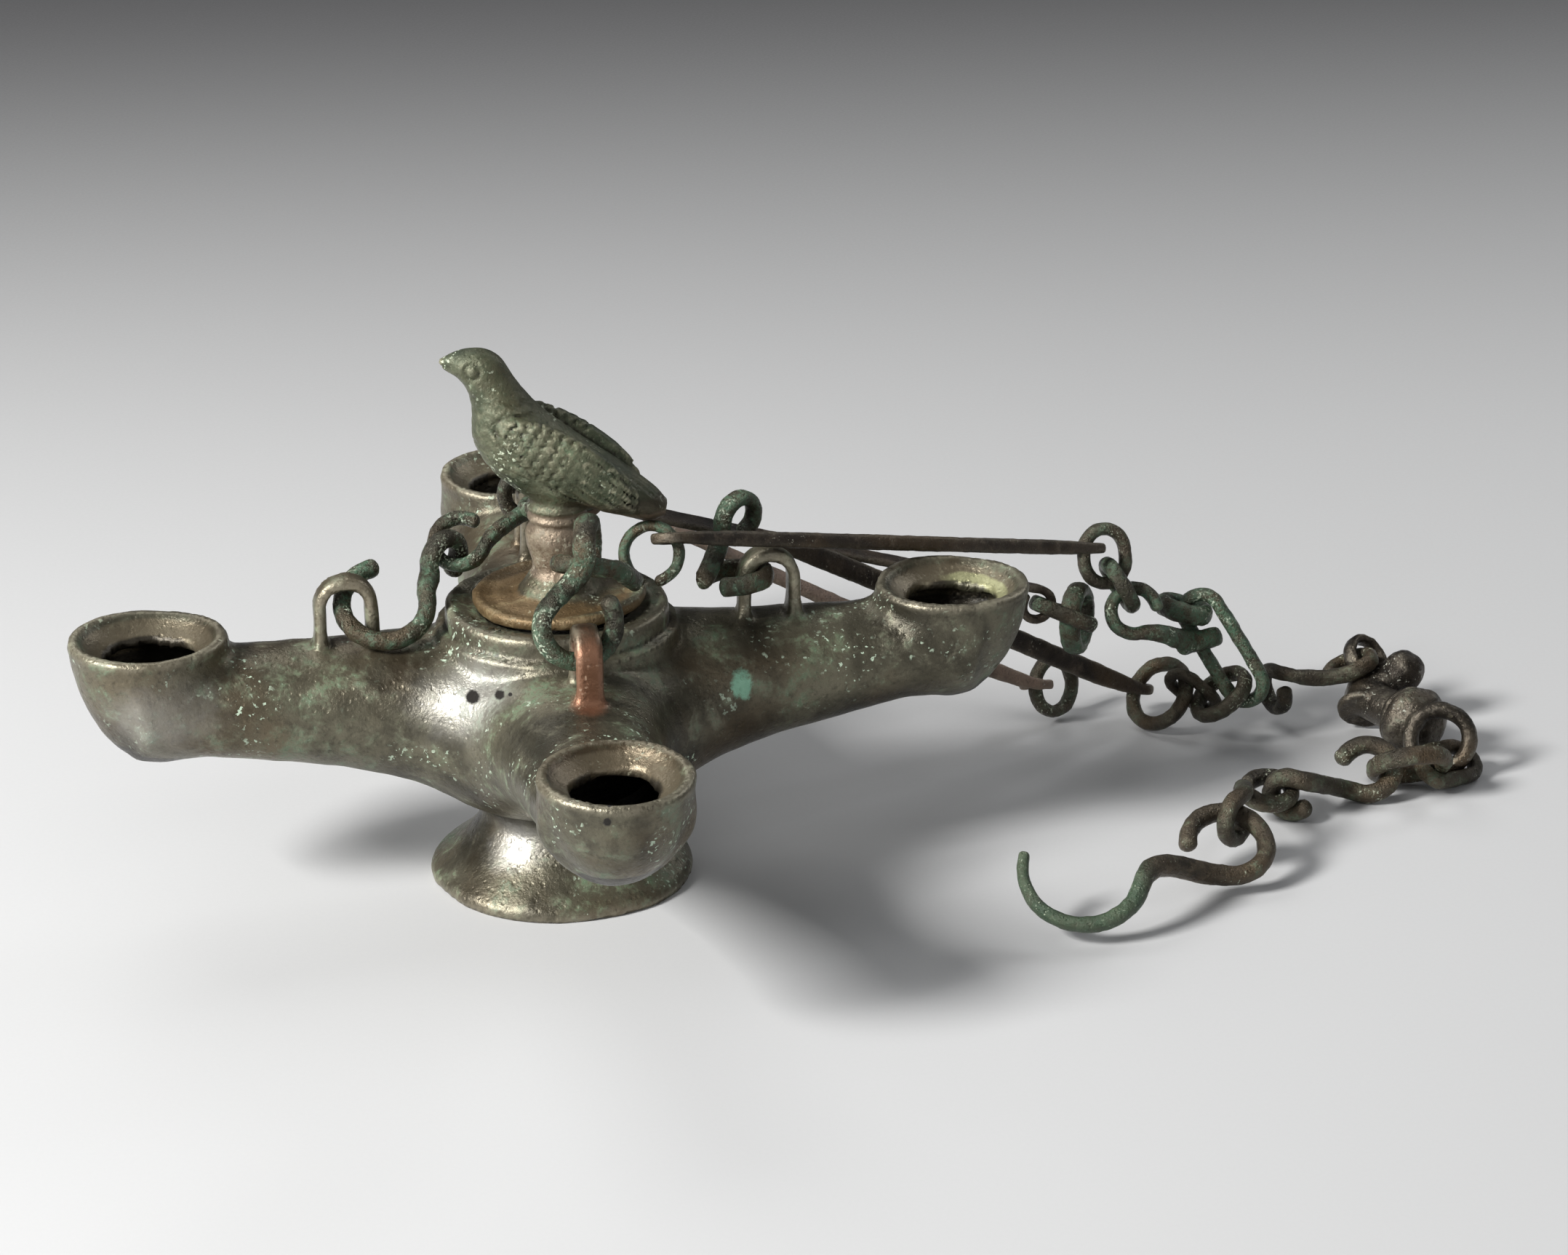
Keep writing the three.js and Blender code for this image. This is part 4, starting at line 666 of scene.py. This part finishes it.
# ------------------------------------------------------------------ materials
class Mat:
    """small helper for node trees driven by the object's own coordinates"""

    def __init__(self, name):
        self.m = bpy.data.materials.new(name)
        self.m.use_nodes = True
        self.t = self.m.node_tree
        self.bsdf = self.t.nodes["Principled BSDF"]
        self.co = self.t.nodes.new("ShaderNodeTexCoord").outputs["Object"]

    def link(self, a, b):
        self.t.links.new(a, b)

    def noise(self, scale, detail=4, rough=0.6, distort=0.0):
        n = self.t.nodes.new("ShaderNodeTexNoise")
        n.inputs["Scale"].default_value = scale; n.inputs["Detail"].default_value = detail
        n.inputs["Roughness"].default_value = rough; n.inputs["Distortion"].default_value = distort
        self.link(self.co, n.inputs["Vector"])
        return n.outputs["Fac"]

    def voronoi(self, scale, feature="F1", rand=1.0):
        n = self.t.nodes.new("ShaderNodeTexVoronoi")
        n.feature = feature
        n.inputs["Scale"].default_value = scale; n.inputs["Randomness"].default_value = rand
        self.link(self.co, n.inputs["Vector"])
        return n.outputs["Distance"]

    def ramp(self, fac, a, b, lo=0.0, hi=1.0):
        n = self.t.nodes.new("ShaderNodeMapRange")
        n.interpolation_type = "SMOOTHSTEP"
        self.link(fac, n.inputs["Value"])
        n.inputs["From Min"].default_value = a; n.inputs["From Max"].default_value = b
        n.inputs["To Min"].default_value = lo; n.inputs["To Max"].default_value = hi
        return n.outputs["Result"]

    def math(self, op, a, b=None):
        n = self.t.nodes.new("ShaderNodeMath"); n.operation = op
        for i, v in enumerate((a, b)):
            if v is None:
                continue
            if isinstance(v, (int, float)):
                n.inputs[i].default_value = v
            else:
                self.link(v, n.inputs[i])
        n.use_clamp = op in ("ADD", "MULTIPLY", "SUBTRACT")
        return n.outputs[0]

    def mix(self, fac, a, b):
        n = self.t.nodes.new("ShaderNodeMix"); n.data_type = "RGBA"
        self.link(fac, n.inputs["Factor"])
        for sock, v in ((n.inputs["A"], a), (n.inputs["B"], b)):
            pass
        ia = [s for s in n.inputs if s.name == "A" and s.type == "RGBA"][0]
        ib = [s for s in n.inputs if s.name == "B" and s.type == "RGBA"][0]
        for sock, v in ((ia, a), (ib, b)):
            if isinstance(v, tuple):
                sock.default_value = (*v, 1)
            else:
                self.link(v, sock)
        return [o for o in n.outputs if o.type == "RGBA"][0]

    def attr(self, name):
        n = self.t.nodes.new("ShaderNodeAttribute"); n.attribute_name = name
        return n.outputs["Fac"]

    def pit_shade_mark(self, at, r, eye=(-108.18, -870.3, 421.69)):
        """a small ragged round mark of painted shade standing in for a pit, on the side that faces eye, 1 inside;
        millimetres
        """
        a, e = np.array(at) * 0.001, np.array(eye) * 0.001
        way = (a - e) / np.linalg.norm(a - e)
        sub = self.t.nodes.new("ShaderNodeVectorMath"); sub.operation = "SUBTRACT"
        self.link(self.co, sub.inputs[0]); sub.inputs[1].default_value = tuple(a)
        cr = self.t.nodes.new("ShaderNodeVectorMath"); cr.operation = "CROSS_PRODUCT"
        self.link(sub.outputs[0], cr.inputs[0]); cr.inputs[1].default_value = tuple(way)
        far, off = [self.t.nodes.new("ShaderNodeVectorMath") for _ in range(2)]
        for n, src in ((far, sub), (off, cr)):
            n.operation = "LENGTH"; self.link(src.outputs[0], n.inputs[0])
        d = self.math("ADD", self.math("MULTIPLY", off.outputs["Value"], 100.0 / r), self.math("MULTIPLY", self.noise(1300, 3, 0.6), 0.06))
        return self.math("MULTIPLY", self.ramp(d, 0.15, 0.10), self.ramp(far.outputs["Value"], 0.007, 0.006))

    def slope(self):
        """how far the surface faces up, -1..1"""
        g = self.t.nodes.new("ShaderNodeNewGeometry")
        s = self.t.nodes.new("ShaderNodeSeparateXYZ")
        self.link(g.outputs["Normal"], s.inputs[0])
        return s.outputs["Z"]

    def worn(self):
        g = self.t.nodes.new("ShaderNodeNewGeometry")
        return g.outputs["Pointiness"]

    def done(self, colour, rough, bumps, metallic):
        self.link(colour, self.bsdf.inputs["Base Color"])
        self.link(rough, self.bsdf.inputs["Roughness"])
        if isinstance(metallic, (int, float)):
            self.bsdf.inputs["Metallic"].default_value = metallic
        else:
            self.link(metallic, self.bsdf.inputs["Metallic"])
        last = None
        for h, dist, strength in bumps:
            b = self.t.nodes.new("ShaderNodeBump")
            b.inputs["Distance"].default_value = dist; b.inputs["Strength"].default_value = strength
            self.link(h, b.inputs["Height"])
            if last is not None:
                self.link(last, b.inputs["Normal"])
            last = b.outputs["Normal"]
        self.link(last, self.bsdf.inputs["Normal"])
        return self.m


def bronze(name, dark, mid, light, green, pale, green_at=0.6, green_soft=0.1, pale_at=0.68, metal=0.45, rough=(0.3, 0.62), masks=(), scale=1.0, hollow_shade=(0.028, 0.022, 0.015), bump=1.0, warm=(0.13, 0.085, 0.045), wear=0.6, worn_col=(0.40, 0.36, 0.27)):
    """patinated bronze: brown skin in two tones, worn light patches, green corrosion, pale specks, pits, painted shade
    in hollows
    """
    b = Mat(name)
    big = b.noise(34 * scale, 5, 0.62, 0.4)
    med = b.noise(150 * scale, 6, 0.68, 0.3)
    fine = b.noise(640 * scale, 5, 0.72)
    grit = b.noise(1500 * scale, 3, 0.6)
    c = b.mix(b.ramp(big, 0.34, 0.6), dark, mid)
    c = b.mix(b.ramp(b.noise(22 * scale, 3, 0.5, 0.8), 0.45, 0.7, 0, 0.5), c, warm)
    c = b.mix(b.ramp(med, 0.5, 0.74, 0, 0.6), c, light)
    c = b.mix(b.ramp(fine, 0.48, 0.72, 0, 0.55), c, dark)
    g = b.math("ADD", b.math("MULTIPLY", big, 0.45), b.math("MULTIPLY", med, 0.55))
    gm = b.ramp(g, green_at - green_soft, green_at + green_soft)
    gm = b.math("MULTIPLY", gm, b.ramp(fine, 0.36, 0.58, 0.1, 0.85))
    for m, amount in masks:
        patchy = b.math("ADD", b.math("MULTIPLY", med, 0.3), b.math("MULTIPLY", fine, 0.35))
        extra = b.math("MULTIPLY", b.ramp(b.math("ADD", b.math("MULTIPLY", b.attr(m), 0.55), patchy), 0.62, 0.98), amount)
        gm = b.math("MAXIMUM", gm, extra)
    c = b.mix(gm, c, green)
    # crusty pale specks where corrosion gathers
    sp = b.math("MULTIPLY", b.ramp(b.noise(820 * scale, 2, 0.5), pale_at - 0.05, pale_at), b.ramp(b.noise(60 * scale, 4, 0.6, 0.5), 0.52, 0.66))
    sp2 = b.math("MULTIPLY", b.ramp(fine, 0.6, 0.7), b.ramp(gm, 0.25, 0.8))
    pm = b.math("MAXIMUM", sp, b.math("MULTIPLY", sp2, 0.7))
    c = b.mix(pm, c, pale)
    # painted shade in hollows (near black where pointiness is low), wear on ridges
    pt = b.worn()
    c = b.mix(b.ramp(pt, 0.49, 0.43, 0, 0.85), c, hollow_shade)
    edge = b.math("MULTIPLY", b.ramp(pt, 0.515, 0.58, 0, 1), b.ramp(fine, 0.35, 0.55, 0.3, 0.9))
    c = b.mix(b.math("MULTIPLY", edge, wear), c, worn_col)
    r = b.ramp(b.math("ADD", b.math("MULTIPLY", med, 0.5), b.math("MULTIPLY", fine, 0.5)), 0.36, 0.64, rough[0], rough[1])
    r = b.math("MAXIMUM", r, b.math("MULTIPLY", b.math("MAXIMUM", gm, pm), 0.66))
    mt = b.ramp(b.math("MAXIMUM", gm, pm), 0.0, 0.6, metal, 0.05)
    pits = b.ramp(b.voronoi(520 * scale), 0.12, 0.34)
    return b.done(c, r, [(med, 0.0008, 0.4 * bump), (fine, 0.0004, 0.6 * bump), (pits, 0.00025, 0.4 * bump), (grit, 0.00014, 0.5 * bump)], mt), b


# ------------------------------------------------------------------ pieces
def patch(P, at, r):
    return np.exp(-(((P - np.array(at)) / np.array(r)) ** 2).sum(1))


H_BODY = 1.35
H_LID = 0.62
H_SW = 0.5

P, Q = grid_mesh(sd_body, (-114, -114, -2), (114, 114, 79), H_BODY)
zr = P[:, 2]
rim = np.zeros(len(P)); inner = np.zeros(len(P)); shade_inside = np.zeros(len(P)); crust = np.zeros(len(P))
for k in "ABCD":
    u, v = arm_local(k, P[:, 0], P[:, 1])
    e = np.hypot((u - NOZ_U) / NOZ_L, v / NOZ_W)
    near = np.clip((1.12 - e) / 0.1, 0, 1)
    rim = np.maximum(rim, near * np.clip((zr - 62.5) / 3.0, 0, 1))
    dish = np.clip((0.86 - e) / 0.06, 0, 1) * np.clip((zr - 52) / 3, 0, 1)
    inner = np.maximum(inner, dish)
    # painted shade: the throats of the nozzle holes, coloured near black below
    deep = np.clip((0.62 - e) / 0.05, 0, 1)
    shade_inside = np.maximum(shade_inside, deep)
    if k == "C":
        crust = np.maximum(crust, dish * np.clip((u - NOZ_U) / 8 + 0.4, 0, 1) * np.clip((0.78 - e) / 0.1, 0, 1))
r_ = np.hypot(P[:, 0], P[:, 1])
collar = np.clip((28.9 - r_) / 1.0, 0, 1) * np.clip((zr - 60) / 2, 0, 1)
foot = np.clip((7 - zr) / 5, 0, 1)
# painted shade: the inside walls of the hollow, seen through the holes, are coloured near black below
hid = (sd_outer(P[:, 0], P[:, 1], P[:, 2], -WALL) < 0.6) & (zr > 26)
shade_inside = np.maximum(shade_inside, hid & (zr < 58))
copper = patch(P, (1.4, -47.0, 66.0), (6.0, 7.0, 9.0)) + patch(P, (1.4, -39.5, 70.0), (5.0, 8.5, 9.0))
# painted highlight: pale patches on the saddle, the foot's upper left and arm A's front, lightening the colour where
# highlights fall
painted_highlight = patch(P, (-21.0, -22.0, 54.0), (17.0, 13.0, 11.0)) + 0.8 * patch(P, (-12.0, -14.0, 13.0), (11.0, 9.0, 9.0)) + 0.8 * patch(P, (-93.0, -13.0, 52.0), (16.0, 10.0, 12.0))
malach = patch(P, (40.0, -14.5, 50.5), (4.6, 8.0, 5.8))
body_green = np.clip(0.62 * rim + 0.5 * collar * (0.5 + 0.5 * lump(P[:, 0], P[:, 1], P[:, 2], 18, 5)) + 0.45 * foot * (0.4 + 0.6 * lump(P[:, 0], P[:, 1], P[:, 2], 15, 6)), 0, 1)
for k in "ABCD":
    cx, cy = LUGS[k]
    body_green = np.maximum(body_green, 0.55 * patch(P, (cx, cy, 66.0), (9.5, 9.5, 7.0)) * (k != "B"))
mat_body, bb = bronze("cast_bronze_patina", (0.040, 0.036, 0.025), (0.16, 0.148, 0.104), (0.27, 0.25, 0.185), (0.095, 0.155, 0.085), (0.44, 0.55, 0.42),
                      green_at=0.565, green_soft=0.07, pale_at=0.66, metal=0.62, rough=(0.28, 0.44), masks=(("green", 0.8),), bump=0.75)
t = bb.t
col = bb.bsdf.inputs["Base Color"].links[0].from_socket
# painted highlight: pale grey (0.42, 0.41, 0.38) mixed in over the highlight patches
col = bb.mix(bb.ramp(bb.math("ADD", bb.math("MULTIPLY", bb.attr("painted_highlight"), 0.75), bb.math("MULTIPLY", bb.noise(120, 6, 0.7, 0.3), 0.5)), 0.42, 1.0, 0, 0.62), col, (0.42, 0.41, 0.38))
col = bb.mix(bb.ramp(bb.math("ADD", bb.math("MULTIPLY", bb.attr("malachite"), 0.8), bb.math("MULTIPLY", bb.noise(420, 4, 0.7), 0.4)), 0.6, 0.74, 0, 0.95), col, (0.24, 0.46, 0.33))
col = bb.mix(bb.ramp(bb.math("ADD", bb.math("MULTIPLY", bb.attr("copper"), 0.8), bb.math("MULTIPLY", bb.noise(260, 4, 0.7), 0.4)), 0.5, 0.85, 0, 0.85), col, (0.27, 0.13, 0.075))
col = bb.mix(bb.ramp(bb.math("ADD", bb.math("MULTIPLY", bb.attr("inner"), 0.8), bb.math("MULTIPLY", bb.noise(240, 4, 0.7), 0.4)), 0.5, 0.95, 0, 0.6), col, (0.20, 0.165, 0.11))
col = bb.mix(bb.ramp(bb.math("ADD", bb.math("MULTIPLY", bb.attr("crust"), 0.8), bb.math("MULTIPLY", bb.noise(300, 4, 0.7), 0.45)), 0.45, 0.8, 0, 0.85), col, (0.40, 0.40, 0.22))
# painted shade: near-black colour (0.03, 0.026, 0.02) inside the nozzle holes and the hollow
col = bb.mix(bb.ramp(bb.attr("shade_inside"), 0.2, 0.9, 0, 0.9), col, (0.03, 0.026, 0.02))
# pits: near-black painted shade, rough and not metallic, where no real hole is cut
for at, r in (((-22.17, -20.17, 54.04), 1.7), ((-16.63, -25.83, 56.54), 1.2), ((-14.4, -27.6, 57.2), 0.5), ((-4.25, -111.04, 62.95), 0.9), ((-3.57, -109.95, 66.4), 0.6)):
    sp = bb.pit_shade_mark(at, r)
    col = bb.mix(sp, col, (0.012, 0.010, 0.008))
    for sock, op, v in (("Roughness", "MAXIMUM", sp), ("Metallic", "MULTIPLY", bb.math("SUBTRACT", 1.0, sp))):
        bb.link(bb.math(op, bb.bsdf.inputs[sock].links[0].from_socket, v), bb.bsdf.inputs[sock])
bb.link(col, bb.bsdf.inputs["Base Color"])
F, tr = outward(P, Q, [])
body = put("lamp_body_casting", P, F, tr, "lamp_body", mat_body, dict(green=body_green, copper=np.clip(copper, 0, 1), malachite=np.clip(malach, 0, 1), painted_highlight=np.clip(painted_highlight, 0, 1), inner=inner, shade_inside=shade_inside.astype(float), crust=crust))

P, Q = grid_mesh(sd_lid, (-30, -24, 64), (32, 26, 132), H_LID)
disc_m = np.clip((73.0 - P[:, 2]) / 2.0, 0, 1)
post_m = np.clip((P[:, 2] - 73) / 3, 0, 1) * np.clip((93.5 - P[:, 2]) / 2.5, 0, 1)
bird_m = np.clip((P[:, 2] - 92.5) / 3, 0, 1)
mat_lid, bl = bronze("lid_and_bird_patina", (0.036, 0.034, 0.022), (0.13, 0.118, 0.078), (0.32, 0.29, 0.20), (0.055, 0.112, 0.05), (0.50, 0.56, 0.42),
                     green_at=0.56, green_soft=0.1, pale_at=0.64, metal=0.6, rough=(0.32, 0.55), masks=(("bird", 0.32),), scale=1.25, wear=0.6, worn_col=(0.42, 0.40, 0.28))
col = bl.bsdf.inputs["Base Color"].links[0].from_socket
col = bl.mix(bl.ramp(bl.math("ADD", bl.math("MULTIPLY", bl.attr("disc"), 0.8), bl.math("MULTIPLY", bl.noise(190, 5, 0.7, 0.3), 0.45)), 0.72, 1.05, 0, 0.75), col, (0.215, 0.135, 0.06))
col = bl.mix(bl.ramp(bl.math("ADD", bl.math("MULTIPLY", bl.attr("post"), 0.8), bl.math("MULTIPLY", bl.noise(230, 5, 0.7, 0.3), 0.45)), 0.75, 1.02, 0, 0.7), col, (0.27, 0.205, 0.15))
bl.link(col, bl.bsdf.inputs["Base Color"])
F, tr = outward(P, Q, [])
put("lid_with_bird_casting", P, F, tr, "lid_with_bird", mat_lid, dict(bird=bird_m, disc=disc_m, post=post_m))

pts = np.array([SWIVEL["loop"]["at"], SWIVEL["endEye"]["at"], SWIVEL["bellMouth"], SWIVEL["bigBead"], SWIVEL["smallBead"]])
P, Q = grid_mesh(sd_swivel, pts.min(0) - 12, pts.max(0) + 12, H_SW)
mat_sw, _ = bronze("swivel_patina", (0.024, 0.02, 0.016), (0.095, 0.082, 0.064), (0.24, 0.215, 0.17), (0.09, 0.12, 0.07), (0.42, 0.43, 0.36), wear=0.35, green_at=0.64, metal=0.85, rough=(0.24, 0.42), scale=1.6)
F, tr = outward(P, Q, [])
put("swivel_casting", P, F, tr, "swivel", mat_sw)

mat_rod, _ = bronze("rod_patina", (0.02, 0.015, 0.012), (0.055, 0.042, 0.031), (0.17, 0.135, 0.10), (0.07, 0.085, 0.052), (0.36, 0.34, 0.27), green_at=0.66, metal=0.6, rough=(0.3, 0.52), scale=1.8)
# a lighter, pinkish copy of the rod colour, used on the back rod
mat_pink, _ = bronze("pinkish_rod_patina", (0.09, 0.065, 0.05), (0.24, 0.17, 0.13), (0.36, 0.28, 0.22), (0.19, 0.21, 0.15), (0.4, 0.36, 0.3), green_at=0.68, metal=0.3, rough=(0.42, 0.66), scale=1.8)
mat_link, _ = bronze("verdigris_links", (0.020, 0.019, 0.013), (0.072, 0.068, 0.044), (0.22, 0.215, 0.15), (0.038, 0.115, 0.062), (0.52, 0.60, 0.46), green_at=0.505, green_soft=0.05, pale_at=0.6, metal=0.6, rough=(0.24, 0.46), scale=1.8, wear=0.22, bump=1.6)
mat_dark, _ = bronze("dark_links", (0.018, 0.015, 0.011), (0.064, 0.053, 0.037), (0.20, 0.175, 0.125), (0.05, 0.10, 0.052), (0.46, 0.50, 0.38), bump=1.6, wear=0.2, green_at=0.57, green_soft=0.09, pale_at=0.65, metal=0.65, rough=(0.28, 0.5), scale=1.8)
mat_hook, hb = bronze("hook_patina", (0.02, 0.017, 0.012), (0.072, 0.055, 0.036), (0.20, 0.155, 0.105), (0.035, 0.09, 0.045), (0.50, 0.56, 0.42), bump=1.5, wear=0.2, green_at=0.6, green_soft=0.08, metal=0.6, rough=(0.28, 0.52), masks=(("green", 0.8),), scale=1.7)

BRIGHT = {"link_a1", "link_a2", "link_b1", "link_b2", "link_c1", "link_d1", "ring_p2", "link_p3", "ring_p4", "ring_p5", "link_green", "ring_p10"}
for i, (name, c) in enumerate(CHAIN.items()):
    closed = "bend" in c
    path = ring_path(c) if closed else link_path(c)
    flat = name.startswith("rod_")
    V, F, tr = strap_mesh(path, 100 + i, sides=16, rough=0.10 if flat else 0.15, square=0.72 if flat else 0.9)
    F, tr = outward(V, F, tr)
    if name == "hook":
        att = dict(green=np.clip((V[:, 0].max() - 26 - V[:, 0]) / 14, 0, 1))
        put("chain_hook", V, F, tr, name, mat_hook, att)
    elif flat:
        put("suspension_" + name, V, F, tr, name, mat_pink if name in ("rod_back",) else mat_rod)
    else:
        put("chain_" + name, V, F, tr, name, mat_link if name in BRIGHT else mat_dark)

# ------------------------------------------------------------------ floor, sweep, light, camera
def stage_sheet():
    # a floor that turns up smoothly far behind
    ys = [(-3.0, 0.0), (1.4, 0.0)] + [(1.4 + 1.2 * math.sin(a), 1.2 - 1.2 * math.cos(a)) for a in np.linspace(0.05, math.pi / 2, 16)] + [(2.6, 4.5)]
    verts, faces = [], []
    for y, z in ys:
        verts += [(-4.0, y, z), (4.5, y, z)]
    for i in range(len(ys) - 1):
        faces.append((2 * i, 2 * i + 1, 2 * i + 3, 2 * i + 2))
    me = bpy.data.meshes.new("sweep"); me.from_pydata(verts, [], faces); me.update()
    me.polygons.foreach_set("use_smooth", np.ones(len(me.polygons), bool))
    ob = bpy.data.objects.new("studio_floor", me)
    bpy.context.scene.collection.objects.link(ob)
    b = Mat("pale_floor")
    n = b.noise(3.0, 3, 0.5); n2 = b.noise(900, 3, 0.6)
    c = b.mix(n, (0.575, 0.579, 0.585), (0.605, 0.608, 0.615))
    sx = b.t.nodes.new("ShaderNodeSeparateXYZ"); b.link(b.co, sx.inputs[0])
    # painted shade: the floor darkens towards the back, standing in for light falling off with distance
    c = b.mix(b.ramp(sx.outputs["Y"], 0.06, 1.0), c, (0.10, 0.10, 0.104))
    me.materials.append(b.done(c, b.ramp(n2, 0.3, 0.7, 0.55, 0.7), [(n2, 0.0001, 0.1)], 0.0))
    ob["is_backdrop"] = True


stage_sheet()


def area(name, at, look, size, power, colour=(1, 1, 1), size_y=None):
    l = bpy.data.lights.new(name, "AREA"); l.shape = "RECTANGLE" if size_y else "SQUARE"
    l.size = size
    if size_y:
        l.size_y = size_y
    l.energy = power; l.color = colour
    o = bpy.data.objects.new(name, l)
    o.location = at
    o.rotation_euler = (Vector(look) - Vector(at)).to_track_quat("-Z", "Y").to_euler()
    bpy.context.scene.collection.objects.link(o)
    return o


area("key", (-1.28, -0.5, 1.05), (0.03, 0.0, 0.03), 0.42, 47.0, (1.0, 0.99, 0.97))
area("top_back", (-0.35, 0.95, 1.15), (0.05, 0.0, 0.03), 0.8, 5.0, (1.0, 1.0, 0.99))
area("right_back", (0.95, 0.65, 0.75), (0.05, 0.0, 0.03), 0.35, 2.2, (0.98, 0.99, 1.0))
area("left_front", (-1.15, -0.95, 0.6), (0.0, 0.0, 0.03), 1.0, 5.0, (0.98, 0.99, 1.0))
area("right_front", (0.9, -1.3, 0.75), (0.0, 0.0, 0.03), 0.9, 2.4, (0.98, 0.99, 1.0))

w = bpy.data.worlds.new("studio") if bpy.context.scene.world is None else bpy.context.scene.world
bpy.context.scene.world = w
w.use_nodes = True
w.node_tree.nodes["Background"].inputs["Color"].default_value = (0.92, 0.94, 0.97, 1)
w.node_tree.nodes["Background"].inputs["Strength"].default_value = 0.13

BETA, ELEV = 0.183870061882267, 0.39052695748396865
cam = bpy.data.cameras.new("camera")
cam.sensor_fit = "HORIZONTAL"; cam.sensor_width = 36.0
cam.lens = 5599.93 / 2156 * 36.0
cam.clip_start = 0.01; cam.clip_end = 50
co = bpy.data.objects.new("camera", cam)
co.location = (-0.10817854459, -0.87030129322, 0.42169176873)
fwd = Vector((math.sin(BETA) * math.cos(ELEV), math.cos(BETA) * math.cos(ELEV), -math.sin(ELEV)))
co.rotation_euler = fwd.to_track_quat("-Z", "Y").to_euler()
bpy.context.scene.collection.objects.link(co)
bpy.context.scene.camera = co
bpy.context.scene.view_settings.view_transform = "Standard"
bpy.context.scene.view_settings.look = "None"
bpy.context.scene.view_settings.exposure = 0.0

bpy.context.view_layer.update()
flat = lambda b: [[float(x) for x in p] for p in b]
{"cad": flat(cad_box), "visual": flat(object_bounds())}
